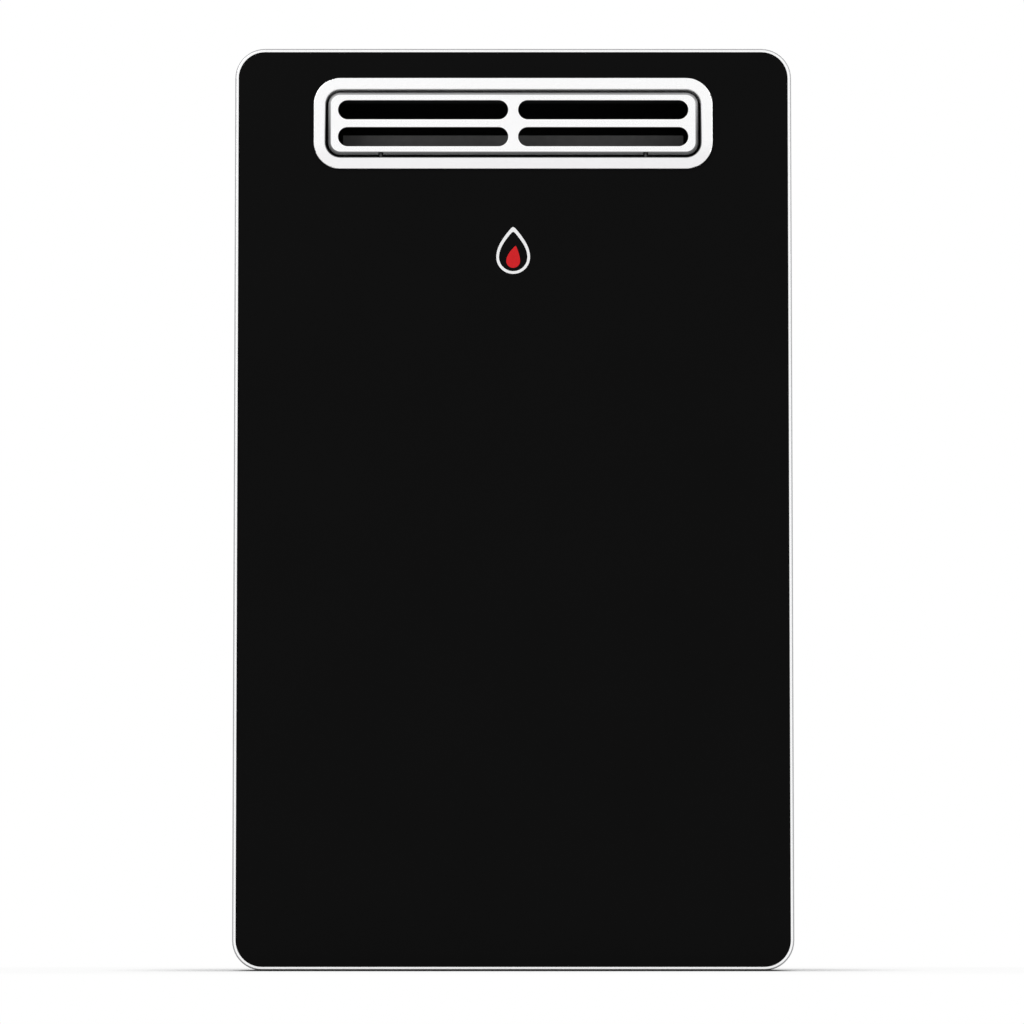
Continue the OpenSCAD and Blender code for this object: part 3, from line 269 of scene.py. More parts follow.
def mix(factor, first, second):
    """Goes from the first colour to the second as factor goes from 0 to 1."""
    sockets = {0: factor}
    for socket, colour in ((6, first), (7, second)):
        sockets[socket] = colour if isinstance(colour, Signal) else (*colour, 1)
    return factor.node("Mix", {"data_type": "RGBA"}, sockets, output=2)


def relief(height, depth):
    """A normal from a height signal whose full swing is this deep in metres."""
    return height.node("Bump", sockets={"Height": height, "Distance": depth, "Strength": 1.0})


def dress(finish, *nodes):
    """Puts one finish on every face of the named pieces."""
    for name in nodes:
        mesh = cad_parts[name].data
        mesh.materials.clear()
        mesh.materials.append(finish)


def silver_coat():
    finish, shader, start = new_finish("silver_coat", Metallic=0.2, Specular_IOR_Level=0.3)
    place = place_on(start)
    flake = fade(grain(place, coat_flake, 1), 0.35, 0.7)
    peel = grain(place, coat_peel)
    cloud = grain(place, coat_cloud)
    feed(shader, {
        "Base Color": mix(flake * 0.55 + cloud * 0.3, coat_dark, coat_light),
        "Roughness": 0.40 + peel * 0.10 - flake * 0.08,
        "Normal": relief(peel + flake * 0.3, peel_depth),
    })
    return finish


dress(silver_coat(), "cover_shell", "chassis")

# Front panel: a flat sheet with a satin black coating, cut out for the vent and glued to the
# cover behind the trim.
panel_deep = (0.0008, 0.0008, 0.0008)
panel_pale = (0.0020, 0.0020, 0.0020)
panel_grain = 0.0005
panel_cloud = 0.08
panel_depth = 0.00001


def satin_black():
    finish, shader, start = new_finish("satin_black", Specular_IOR_Level=0.05)
    place = place_on(start)
    fine = grain(place, panel_grain, 1)
    cloud = grain(place, panel_cloud)
    feed(shader, {
        "Base Color": mix(cloud * 0.6 + fine * 0.4, panel_deep, panel_pale),
        "Roughness": 0.34 + cloud * 0.06 + fine * 0.08,
        "Normal": relief(fine, panel_depth),
    })
    return finish


dress(satin_black(), "face_panel")

# Trim frame: an aluminium strip bent round the panel's edge, brushed along its length and clear
# anodised. Its outer edge is rolled over the cover; its rounding is painted grey as shade, and a
# strip along the bottom is painted black as a contact shadow.
trim_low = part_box("trim_frame")[0]
trim_brushing = [(60, 1, 1), (1, 1, 60)]
brush_size = 0.00018
brush_depth = 0.000012
brushed_dark = (0.93, 0.93, 0.935)
brushed_light = (1.0, 1.0, 1.0)
wear_size = 0.03
# Painted shade: grey for the rolled edge's rounding and black for a contact shadow line along its bottom.
rounding_painted_shade = (0.40, 0.40, 0.41)
rolled_depth = 0.00005
shadow_line_black = (0.02, 0.02, 0.02)
shadow_line_low = 0.0007
shadow_line_high = 0.0012


def behind(start, front, depth):
    """0 on a plane that faces the front and 1 from this depth behind it."""
    return fade(axis_of(start, "Y"), front, front + depth)


def brushed(name, along, dull_and_painted_shade_parts):
    """Bright brushed sheet, with a list of masks, each with the colour it lays on, real dulling and
    painted shade, and what metal it keeps.
    """
    finish, shader, start = new_finish(name)
    lines = grain(place_on(start, along[0]), brush_size, 3)
    for stretch in along[1:]:
        lines = (lines + grain(place_on(start, stretch), brush_size, 3)) * 0.5
    worn = grain(place_on(start), wear_size)
    colour = mix(lines * 0.7 + worn * 0.3, brushed_dark, brushed_light)
    metal = 1 - worn * 0.02
    rough = 0.16 + lines * 0.12 + worn * 0.05
    # Each mask lays on a colour: real dulling from rain, or painted shade, painted reflection and painted
    # shadow on the trim, lip and grille.
    for mask, dull_and_painted_shade, kept in dull_and_painted_shade_parts(start):
        colour = mix(mask, colour, dull_and_painted_shade)
        metal = metal * (1 - mask * (1 - kept))
        rough = rough + mask * 0.15
    feed(shader, {
        "Base Color": colour,
        "Metallic": metal,
        "Roughness": rough,
        "Normal": relief(lines, brush_depth),
    })
    return finish


def trim_painted_shade(start):
    # Painted shade on the rounding, and a painted shadow line where it meets the floor.
    edge = behind(start, trim_low.y, rolled_depth)
    above_shadow_line = fade(axis_of(start, "Z"), trim_low.z + shadow_line_low, trim_low.z + shadow_line_high)
    return [(edge, rounding_painted_shade, 0.8), (edge * (1 - above_shadow_line), shadow_line_black, 0.0)]


dress(brushed("trim_metal", trim_brushing, trim_painted_shade), "trim_frame")

# Vent bezel: pressed stainless sheet with a bright satin face, brushed from side to side. Its lip
# passes through the panel and is clipped behind it; the lip is painted grey as shade, darker towards
# the bottom of the vent and lighter towards the top. Rain dulls the lower side.
pan_low, pan_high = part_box("vent_grille")
bezel_low, bezel_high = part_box("vent_bezel")
vent_level = (bezel_low.z + bezel_high.z) / 2
vent_brushing = [(80, 1, 1)]
facing_band = 0.0002
lower_reach = 0.012
upper_reach = 0.018
lip_middle = 0.0003
# Painted shade for the lip: dark towards the bottom of the vent and light towards the top.
lip_painted_shade = (0.24, 0.24, 0.245)
lip_painted_light = (0.80, 0.80, 0.80)
rain_grey = (0.80, 0.79, 0.80)
rain_stretch = (1, 1, 8)
rain_streak = 0.002
rain_wander = 0.004
rain_low = 0.008
rain_high = 0.022


def faces_in(start, middle):
    """1 where a face is turned towards a point, and 0 where it is turned away from it."""
    place = start.node("TexCoord", output="Object")
    facing = start.node("TexCoord", output="Normal")
    outward = start.node("VectorMath", {"operation": "SUBTRACT"}, {0: place, 1: middle})
    both = {0: facing, 1: outward}
    side = start.node("VectorMath", {"operation": "DOT_PRODUCT"}, both, output="Value")
    return 1 - fade(side, -facing_band, facing_band)


def upper_side(start):
    """0 along the lower edge of the vent and 1 along its upper edge."""
    return fade(axis_of(start, "Z"), vent_level - lower_reach, vent_level + upper_reach)


def bezel_rain_and_painted_shade(start):
    # Painted shade: the lip behind the panel is painted grey, darker at the bottom and lighter at the top.
    lip = faces_in(start, (0, pan_low.y + lip_middle, vent_level))
    lip_painted_tone = mix(upper_side(start), lip_painted_shade, lip_painted_light)
    streak = grain(place_on(start, rain_stretch), rain_streak)
    height = axis_of(start, "Z") + streak * rain_wander
    rain = 1 - fade(height, bezel_low.z + rain_low, bezel_low.z + rain_high)
    return [(rain * 0.6, rain_grey, 1.0), (lip, lip_painted_tone, 0.3)]


dress(brushed("bezel_steel", vent_brushing, bezel_rain_and_painted_shade), "vent_bezel")

# Vent grille: a stainless pan with four punched slots, riveted to the flue's sleeve. Its drawn edge
# is painted grey as shade with a lighter band behind it as a painted reflection, its walls carry
# painted shade that lightens towards the top, and the two notches are painted black as shadow.
pin_half = 0.0008
pin_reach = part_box("bezel_spacers")[1].x - pin_half
notch_half = 0.0015
notch_height = 0.0012
notch_band = 0.0002
notch_painted_shadow = (0.008, 0.008, 0.008)
# Painted shade, painted reflection and painted shadow colours for the grille's edge, walls and notches.
drawn_depth = 0.00002
edge_painted_shade = (0.14, 0.14, 0.142)
edge_painted_light = (0.30, 0.30, 0.305)
reflection_band_start = 0.0010
reflection_band_depth = 0.0004
painted_reflection_grey = (0.50, 0.50, 0.505)
wall_start = 0.0022
wall_depth = 0.0006
wall_painted_shade = (0.02, 0.02, 0.02)
wall_painted_light = (0.50, 0.50, 0.50)


def grille_painted_shade(start):
    upper = upper_side(start)
    # Painted shade on the edge and walls, a painted reflection band, and painted shadow in the notches.
    edge = behind(start, pan_low.y, drawn_depth)
    edge_painted_tone = mix(upper, edge_painted_shade, edge_painted_light)
    painted_reflection = behind(start, pan_low.y + reflection_band_start, reflection_band_depth)
    wall = behind(start, pan_low.y + wall_start, wall_depth)
    wall_painted_tone = mix(upper, wall_painted_shade, wall_painted_light)
    across = axis_of(start, "X")
    across = across.math("ABSOLUTE", across) - pin_reach
    beside = fade(across.math("ABSOLUTE", across), notch_half, notch_half + notch_band)
    notch_top = pan_low.z + notch_height
    above = fade(axis_of(start, "Z"), notch_top, notch_top + notch_band)
    notch_shadow = (1 - beside) * (1 - above)
    return [(edge, edge_painted_tone, 0.3), (painted_reflection, painted_reflection_grey, 0.9), (wall, wall_painted_tone, 0.3), (notch_shadow, notch_painted_shadow, 0.0)]


dress(brushed("grille_steel", vent_brushing, grille_painted_shade), "vent_grille", "grille_rivets")

# Front mark: a plain water drop round a small flame, die-cut from thin foil and bonded flat to
# the panel below the vent.
drop_width = 0.0215
drop_height = 0.0300
drop_line = 0.16
drop_low = -0.003
drop_taper = 0.62
drop_sides = 96
flame_width = 0.0088
flame_height = 0.0140
flame_lean = 0.0016
flame_low = -0.0055
foil_thickness = 0.00025
foil_fleck = 0.0006
mark_drop = 0.1310
mark_place = Vector((0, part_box("face_panel")[0].y, cad_box[1].z - mark_drop))


def drop_loop(shape, width, height, lean=0.0):
    """Adds the edges of a drop that stands on its round end, with its point leaning to one side."""
    made = bmesh.ops.create_circle(shape, cap_ends=False, segments=drop_sides, radius=width / 2)["verts"]
    stretch = 2 * height / width - 1
    for vert in made:
        rise = max(0.0, 2 * vert.co.y / width)
        vert.co.x = vert.co.x * (1 - drop_taper * rise * rise) + lean * rise * rise
        vert.co.y *= 1 + (stretch - 1) * (rise > 0)
    return list({edge for vert in made for edge in vert.link_edges})


def foil_mark(name, shape, low, finish):
    """Gives a flat outline its foil thickness and stands it on the panel's face, front to -Y."""
    made = bmesh.ops.extrude_face_region(shape, geom=shape.faces[:])["geom"]
    raised = [part for part in made if isinstance(part, bmesh.types.BMVert)]
    bmesh.ops.translate(shape, verts=raised, vec=(0, 0, foil_thickness))
    bmesh.ops.recalc_face_normals(shape, faces=shape.faces)
    stand = Matrix.Translation(mark_place + Vector((0, 0, low))) @ Matrix.Rotation(math.pi / 2, 4, "X")
    bmesh.ops.transform(shape, matrix=stand, verts=shape.verts)
    piece = make_piece(name, shape, finish)
    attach(piece, "front_cover")


def foil(name, light, dark):
    finish, shader, start = new_finish(name, Specular_IOR_Level=0.15)
    fleck = grain(place_on(start), foil_fleck)
    feed(shader, {
        "Base Color": mix(fleck, dark, light),
        "Roughness": 0.40 + fleck * 0.12,
    })
    return finish


white_foil = foil("white_foil", (0.90, 0.90, 0.90), (0.80, 0.80, 0.81))
red_foil = foil("red_foil", (0.66, 0.012, 0.016), (0.54, 0.008, 0.011))
drop_ring = bmesh.new()
drop_edges = drop_loop(drop_ring, drop_width, drop_height)
drop_edges += drop_loop(drop_ring, drop_width * (1 - drop_line), drop_height * (1 - drop_line))
bmesh.ops.bridge_loops(drop_ring, edges=drop_edges)
foil_mark("drop_mark", drop_ring, drop_low, white_foil)
flame_shape = bmesh.new()
flame_edges = drop_loop(flame_shape, flame_width, flame_height, flame_lean)
bmesh.ops.edgeloop_fill(flame_shape, edges=flame_edges)
foil_mark("flame_mark", flame_shape, flame_low, red_foil)

# Seals: moulded black rubber with a dull bloom, as the ring behind the bezel and the grommet of
# the controller's cable. The two pins that centre the grille take a lighter copy of the rubber, as
# painted light.
rubber_pores = 0.0006
rubber_bloom = 0.012
pore_depth = 0.00004


def black_rubber(name, dark, light):
    finish, shader, start = new_finish(name, Specular_IOR_Level=0.3)
    place = place_on(start)
    pores = grain(place, rubber_pores)
    bloom = fade(grain(place, rubber_bloom), 0.45, 0.75)
    feed(shader, {
        "Base Color": mix(bloom * 0.7 + pores * 0.3, dark, light),
        "Roughness": 0.62 + bloom * 0.18 + pores * 0.08,
        "Normal": relief(pores, pore_depth),
    })
    return finish


soft_black = black_rubber("black_rubber", (0.010, 0.010, 0.011), (0.026, 0.026, 0.027))
# A lighter copy of the black rubber, as painted light on the two pins.
painted_light_rubber = black_rubber("painted_light_rubber", (0.030, 0.030, 0.031), (0.046, 0.046, 0.047))
dress(soft_black, "vent_seal", "controller_grommet")
dress(painted_light_rubber, "bezel_spacers")

# Rails, plate and brackets: folded galvanised steel with its fine crystal spangle. The rails are
# riveted to the chassis and the plate is spot-welded into it.
zinc_dark = (0.52, 0.535, 0.55)
zinc_light = (0.68, 0.70, 0.72)
zinc_spangle = 0.0045
zinc_bloom = 0.03
zinc_grain = 0.0007
zinc_depth = 0.00003


def galvanised():
    finish, shader, start = new_finish("galvanised", Metallic=0.92)
    place = place_on(start)
    cells = {"Vector": place, "Scale": 1 / zinc_spangle}
    crystal = place.node("TexVoronoi", sockets=cells, output="Color")
    facet = start.node("SeparateColor", sockets={"Color": crystal})
    bloom = grain(place, zinc_bloom)
    fine = grain(place, zinc_grain)
    feed(shader, {
        "Base Color": mix(facet * 0.5 + bloom * 0.5, zinc_dark, zinc_light),
        "Roughness": 0.34 + facet * 0.12 + fine * 0.10,
        "Normal": relief(facet * 0.3 + fine, zinc_depth),
    })
    return finish


zinc = galvanised()
dress(zinc, "upper_rail", "lower_rail", "bottom_plate", "hx_brackets")

# Cover screws: four plated pan-head screws, cold-headed with a cross recess. They stay in the
# chassis's lip and clamp the notches in the cover's sides.
screw_low, screw_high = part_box("cover_screws")
screw_middle = (screw_low + screw_high) / 2
screw_span = (screw_high.z - screw_low.z) / 2
screw_radius = (screw_high.y - screw_low.y) / 2
screw_head = 0.0016
screw_shank = 0.0120
shank_radius = screw_radius / 2.1
screw_sides = 28
crown_share = 0.8
crown_height = 0.93
head_profile = ((0.93, 0.74), (1, 0.4), (1, 0))
shank_taper = 0.85
shank_tip = 0.4
recess_cells = 7
recess_share = 0.62
recess_arm = 2.5
recess_taper = 0.72
recess_depth = 0.7
turn_by_level = 0.4
turn_by_side = 0.3
plate_smear = 0.0012


def draw_out(shape, loop, steps):
    """Extrudes a round edge loop through radii and heights about the Z axis, and returns its end."""
    for radius, height in steps:
        made = bmesh.ops.extrude_edge_only(shape, edges=loop)["geom"]
        loop = [part for part in made if isinstance(part, bmesh.types.BMEdge)]
        for vert in (part for part in made if isinstance(part, bmesh.types.BMVert)):
            ray = vert.co.to_2d().normalized() * radius
            vert.co = (ray.x, ray.y, height)
    return loop


def in_cross(middle, cell):
    """True for a grid cell on one of the two arms of the recess."""
    near, far = sorted((abs(middle.x), abs(middle.y)))
    return near < cell / 2 and far < cell * recess_arm


def cross_screw(radius, head):
    """Pan-head screw with a cross recess: the head stands on the origin and the shank hangs below."""
    screw = bmesh.new()
    half = radius * recess_share
    cell = half * 2 / recess_cells
    bmesh.ops.create_grid(screw, x_segments=recess_cells, y_segments=recess_cells, size=half)
    bmesh.ops.translate(screw, verts=screw.verts, vec=(0, 0, head))
    cross = [face for face in screw.faces if in_cross(face.calc_center_median(), cell)]
    made = bmesh.ops.extrude_face_region(screw, geom=cross)["geom"]
    bmesh.ops.delete(screw, geom=cross, context="FACES")
    sunk = [part for part in made if isinstance(part, bmesh.types.BMVert)]
    bmesh.ops.scale(screw, verts=sunk, vec=(recess_taper, recess_taper, 1))
    bmesh.ops.translate(screw, verts=sunk, vec=(0, 0, -recess_depth * head))
    rim = [edge for edge in screw.edges if edge.is_boundary]
    crown = Matrix.Translation((0, 0, head * crown_height))
    bmesh.ops.create_circle(screw, cap_ends=False, segments=screw_sides, radius=radius * crown_share,
                            matrix=crown)
    ring = [edge for edge in screw.edges if edge.is_wire]
    bmesh.ops.bridge_loops(screw, edges=rim + ring)
    steps = [(radius * out, head * up) for out, up in head_profile]
    steps += [(shank_radius, 0), (shank_radius, -screw_shank * shank_taper)]
    steps += [(shank_radius * shank_tip, -screw_shank)]
    bmesh.ops.edgeloop_fill(screw, edges=draw_out(screw, ring, steps))
    bmesh.ops.recalc_face_normals(screw, faces=screw.faces)
    return screw


def repeat(single, places):
    """Joins copies of one small shape, one for each matrix."""
    mould = bpy.data.meshes.new("mould")
    single.to_mesh(mould)
    single.free()
    joined = bmesh.new()
    for place in places:
        first = len(joined.verts)
        joined.from_mesh(mould)
        joined.verts.ensure_lookup_table()
        bmesh.ops.transform(joined, matrix=place, verts=joined.verts[first:])
    bpy.data.meshes.remove(mould)
    return joined


def plated(name, light, dark):
    finish, shader, start = new_finish(name, Metallic=1.0)
    smear = grain(place_on(start), plate_smear)
    feed(shader, {
        "Base Color": mix(smear, dark, light),
        "Roughness": 0.24 + smear * 0.16,
    })
    return finish


bright_plate = plated("bright_plate", (0.78, 0.78, 0.77), (0.60, 0.60, 0.59))
screw_seats = []
for side in (-1, 1):
    for level in (-1, 1):
        seat_level = screw_middle.z + level * (screw_span - screw_radius)
        seat = Vector((side * (screw_high.x - screw_head), screw_middle.y, seat_level))
        tightened = Matrix.Rotation(turn_by_level * level + turn_by_side * side, 4, "Z")
        outward = Matrix.Rotation(side * math.pi / 2, 4, "Y")
        screw_seats.append(Matrix.Translation(seat) @ outward @ tightened)
cover_screws = repeat(cross_screw(screw_radius, screw_head), screw_seats)
cross_screws = make_piece("cross_screws", cover_screws, bright_plate)
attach(cross_screws, "heater_chassis")
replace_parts(cross_screws, "cover_screws")

# Rail rivets: twelve aluminium blind rivets through the rails' flanges and the rear panel. Each
# head is domed, with the well of the broken pin in its middle.
rivet_low, rivet_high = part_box("rail_rivets")
rivet_radius = 0.0034
rivet_head = rivet_high.y - rivet_low.y
rivet_sides = 28
well_share = 0.26
well_floor = 0.5
dome_profile = ((well_share, 0.95), (0.34, 1), (0.62, 0.93), (0.86, 0.66), (1, 0.26), (1, 0))
flange_edge = 0.007


def blind_rivet(radius, head):
    rivet = bmesh.new()
    well = Matrix.Translation((0, 0, head * well_floor))
    bmesh.ops.create_circle(rivet, cap_ends=True, segments=rivet_sides, radius=radius * well_share,
                            matrix=well)
    rim = [edge for edge in rivet.edges if edge.is_boundary]
    steps = [(radius * out, head * up) for out, up in dome_profile]
    bmesh.ops.edgeloop_fill(rivet, edges=draw_out(rivet, rim, steps))
    bmesh.ops.recalc_face_normals(rivet, faces=rivet.faces)
    return rivet


rivet_seats = []
for rail in ("upper_rail", "lower_rail"):
    rail_low, rail_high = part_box(rail)
    rail_level = (rail_low.z + rail_high.z) / 2
    flange_reach = (rail_high.z - rail_low.z) / 2 - flange_edge
    for x in (rivet_low.x + rivet_radius, 0, rivet_high.x - rivet_radius):
        for level in (-1, 1):
            seat = Vector((x, rivet_low.y, rail_level + level * flange_reach))
            rivet_seats.append(Matrix.Translation(seat) @ Matrix.Rotation(-math.pi / 2, 4, "X"))
soft_aluminium = plated("soft_aluminium", (0.82, 0.82, 0.83), (0.62, 0.62, 0.63))
rivet_heads = repeat(blind_rivet(rivet_radius, rivet_head), rivet_seats)
blind_rivets = make_piece("blind_rivets", rivet_heads, soft_aluminium)
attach(blind_rivets, "heater_chassis")
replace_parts(blind_rivets, "rail_rivets")

# Flue hood and rain baffle: folded and spot-welded stainless sheet, straw and blue from heat outside.
# Soot blackens the hood's inside, where the flue gas passes, and this black is also painted shade deep in
# the hood; soot greys the baffle behind the slots.
heat_cloud = 0.09
heat_patch = 0.02
heat_tints = [
    (0.0, (0.60, 0.59, 0.58)),
    (0.5, (0.60, 0.56, 0.48)),
    (0.8, (0.54, 0.48, 0.42)),
    (1.0, (0.48, 0.47, 0.50)),
]
stain_size = 0.004
stain_depth = 0.00003
soot_and_painted_shade_black = (0.009, 0.009, 0.009)
soot_dark = (0.058, 0.058, 0.058)
soot_light = (0.098, 0.098, 0.098)
soot_size = 0.006
soot_depth = 0.0001


def flue_steel(name, gas_middle=None):
    """Heat-tinted sheet. Where a middle is given, the faces turned towards it carry soot black, which is
    also painted shade inside the hood.
    """
    finish, shader, start = new_finish(name)
    place = place_on(start)
    heat = fade(grain(place, heat_cloud) * 0.85 + grain(place, heat_patch) * 0.15, 0.3, 0.8)
    stain = grain(place, stain_size)
    colour = heat.node("ValToRGB", {"stops": heat_tints}, {"Fac": heat})
    metal = 0.95 - stain * 0.1
    rough = 0.34 + stain * 0.2
    if gas_middle:
        # Soot, and painted shade: the faces turned in towards the flue are painted near black.
        soot = faces_in(start, gas_middle)
        colour = mix(soot, colour, soot_and_painted_shade_black)
        metal = metal * (1 - soot)
        rough = rough + soot * 0.45
    feed(shader, {
        "Base Color": colour,
        "Metallic": metal,
        "Roughness": rough,
        "Normal": relief(stain, stain_depth),
    })
    return finish


def flue_soot():
    finish, shader, start = new_finish("flue_soot", Specular_IOR_Level=0.25)
    soot = grain(place_on(start), soot_size)
    feed(shader, {
        "Base Color": mix(soot, soot_dark, soot_light),
        "Roughness": 0.7 + soot * 0.2,
        "Normal": relief(soot, soot_depth),
    })
    return finish


dress(flue_steel("hood_steel", (0, 0, (pan_low.z + pan_high.z) / 2)), "flue_hood")
dress(flue_soot(), "rain_baffle")

# Heat exchanger: copper fins pressed on five tubes, a folded copper shell below them and the pipe
# wound round it, all dip-soldered together. The lower half of the shell is browned by the flame.
shell_low, shell_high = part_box("chamber")
fresh_copper = (0.84, 0.49, 0.34)
brown_copper = (0.50, 0.24, 0.15)
copper_cloud = 0.05
copper_patch = 0.012
copper_grain = 0.0012
copper_depth = 0.00002


def bare_copper():
    finish, shader, start = new_finish("bare_copper", Metallic=1.0)
    place = place_on(start)
    cloud = grain(place, copper_cloud) * 0.7 + grain(place, copper_patch) * 0.3
    heat = 1 - fade(axis_of(start, "Z"), shell_low.z, shell_high.z)
    brown = fade(cloud + heat * 0.12, 0.40, 0.90)
    fine = grain(place, copper_grain)
    feed(shader, {
        "Base Color": mix(brown, fresh_copper, brown_copper),
        "Roughness": 0.24 + brown * 0.2 + fine * 0.1,
        "Normal": relief(fine, copper_depth),
    })
    return finish


copper = bare_copper()
dress(copper, "fin_block", "chamber", "cold_pipe", "hot_pipe")

# Gasket: a frame of pressed mineral fibre, cut from sheet and clamped between the flue hood and
# the fin block.
fibre_dark = (0.62, 0.60, 0.54)
fibre_light = (0.84, 0.82, 0.77)
fibre_stretch = (5, 1, 1)
fibre_size = 0.0006
fibre_depth = 0.0002


def pressed_fibre():
    finish, shader, start = new_finish("pressed_fibre", Specular_IOR_Level=0.2)
    strands = grain(place_on(start, fibre_stretch), fibre_size, 3)
    feed(shader, {
        "Base Color": mix(strands, fibre_dark, fibre_light),
        "Roughness": 0.85 + strands * 0.1,
        "Normal": relief(strands, fibre_depth),
    })
    return finish


dress(pressed_fibre(), "flue_gasket")

# Burner: a galvanised box round a row of pressed stainless bars. Two spark electrodes and the flame
# rod reach in over the bars, each a wire in a glazed ceramic sleeve.
ceramic_dark = (0.80, 0.78, 0.72)
ceramic_light = (0.90, 0.89, 0.85)
ceramic_speck = 0.002


def glazed_ceramic():
    finish, shader, start = new_finish("glazed_ceramic", Coat_Weight=0.4, Coat_Roughness=0.08)
    speck = grain(place_on(start), ceramic_speck)
    feed(shader, {
        "Base Color": mix(speck, ceramic_dark, ceramic_light),
        "Roughness": 0.30 + speck * 0.1,
    })
    return finish


ceramic = glazed_ceramic()
dress(zinc, "burner_box")
dress(flue_steel("burner_steel"), "burner_bars", "electrode_tips")
dress(ceramic, "electrodes")

# Fan: a cage of curved blades on a steel shaft, in a galvanised scroll with rolled seams. The flat
# motor on its back has a pressed can, painted dark grey.
motor_dark = (0.035, 0.036, 0.038)
motor_light = (0.055, 0.056, 0.060)
motor_peel = 0.0016
motor_depth = 0.00005


def motor_paint():
    finish, shader, start = new_finish("motor_paint")
    peel = grain(place_on(start), motor_peel)
    feed(shader, {
        "Base Color": mix(peel, motor_dark, motor_light),
        "Roughness": 0.36 + peel * 0.1,
        "Normal": relief(peel, motor_depth),
    })
    return finish


dark_paint = motor_paint()
dress(zinc, "fan_scroll", "fan_impeller")
dress(bright_plate, "fan_shaft")
dress(dark_paint, "fan_motor")

# Gas train: a die-cast aluminium valve with a shot-blasted skin on the inlet fitting, a galvanised
# pipe and the cast bar that feeds the jets. The plungers are plated steel.
cast_dark = (0.58, 0.59, 0.60)
cast_light = (0.74, 0.75, 0.76)
cast_cloud = 0.02
blast_size = 0.0008
blast_depth = 0.00012


def die_cast():
    finish, shader, start = new_finish("die_cast", Metallic=1.0)
    place = place_on(start)
    blast = grain(place, blast_size, 3)
    cloud = grain(place, cast_cloud)
    feed(shader, {
        "Base Color": mix(cloud, cast_dark, cast_light),
        "Roughness": 0.42 + blast * 0.2,
        "Normal": relief(blast, blast_depth),
    })
    return finish


dress(die_cast(), "gas_valve", "gas_manifold")
dress(zinc, "gas_pipe")
dress(bright_plate, "main_plunger", "modulating_plunger")

# Brass: turned water and gas fittings, each with a flange screwed to the bottom plate and a hexagon
# above it, the temperature probes in their bosses and the row of gas jets.
fresh_brass = (0.85, 0.66, 0.33)
dull_brass = (0.62, 0.43, 0.18)
tarnish_size = 0.014
turning_stretch = (40, 40, 1)
turning_size = 0.0002
turning_depth = 0.00001


def turned_brass():
    finish, shader, start = new_finish("turned_brass", Metallic=1.0)
    rings = grain(place_on(start, turning_stretch), turning_size)
    tarnish = grain(place_on(start), tarnish_size)
    feed(shader, {
        "Base Color": mix(tarnish, fresh_brass, dull_brass),
        "Roughness": 0.20 + tarnish * 0.2 + rings * 0.1,
        "Normal": relief(rings, turning_depth),
    })
    return finish


brass = turned_brass()
dress(brass, "hot_fitting", "cold_fitting", "gas_fitting", "gas_jets", "water_sensors")
dress(bright_plate, "flange_screws")

# Lock nuts and pipe threads: chamfered hexagon nuts that clamp the stubs to the bottom plate, and
# the coarse pipe thread rolled on each stub below them.
nut_low, nut_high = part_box("fitting_nuts")
nut_radius = (nut_high.y - nut_low.y) / 2
nut_bore = 0.01325
nut_height = nut_high.z - nut_low.z
bore_sides = 48
chamfer_out = 0.5
chamfer_up = 0.866
cut_reach = 1e-6
stub_radius = 0.0132
thread_pitch = 0.001814
thread_turns = 11
thread_steps = 40
thread_depth = 0.0004
thread_sunk = 0.0002
root_half = 0.45
crest_half = 0.1


def hexagon_nut(radius, bore, height):
    nut = bmesh.new()
    bmesh.ops.create_circle(nut, cap_ends=False, segments=6, radius=radius)
    bmesh.ops.create_circle(nut, cap_ends=False, segments=bore_sides, radius=bore)
    bmesh.ops.bridge_loops(nut, edges=nut.edges[:])
    made = bmesh.ops.extrude_face_region(nut, geom=nut.faces[:])["geom"]
    raised = [part for part in made if isinstance(part, bmesh.types.BMVert)]
    bmesh.ops.translate(nut, verts=raised, vec=(0, 0, height))
    flat = radius * math.cos(math.pi / 6)
    for k in range(12):
        corner = Matrix.Rotation(math.pi / 3 * (k // 2), 3, "Z") @ Vector((1, 0, 0))
        top = k % 2
        cut = bmesh.ops.bisect_plane(
            nut, geom=nut.verts[:] + nut.edges[:] + nut.faces[:], dist=cut_reach, clear_outer=True,
            plane_co=corner * flat + Vector((0, 0, height * top)),
            plane_no=corner * chamfer_out + Vector((0, 0, (2 * top - 1) * chamfer_up)))["geom_cut"]
        rim = [part for part in cut if isinstance(part, bmesh.types.BMEdge)]
        bmesh.ops.contextual_create(nut, geom=rim)
    bmesh.ops.recalc_face_normals(nut, faces=nut.faces)
    return nut


def pipe_thread(radius, depth, pitch, turns):
    """A closed ridge that climbs the Z axis from the origin's level."""
    ridge = bmesh.new()
    root = radius - thread_sunk
    crest = radius + depth
    section = [(root, -root_half), (root, root_half), (crest, crest_half), (crest, -crest_half)]
    corners = [ridge.verts.new((out, 0, step * pitch)) for out, step in section]
    bmesh.ops.contextual_create(ridge, geom=corners)
    bmesh.ops.spin(ridge, geom=ridge.verts[:] + ridge.edges[:] + ridge.faces[:], axis=(0, 0, 1),
                   cent=(0, 0, 0), dvec=(0, 0, pitch / thread_steps), angle=2 * math.pi * turns,
                   steps=thread_steps * turns)
    bmesh.ops.recalc_face_normals(ridge, faces=ridge.faces)
    return ridge


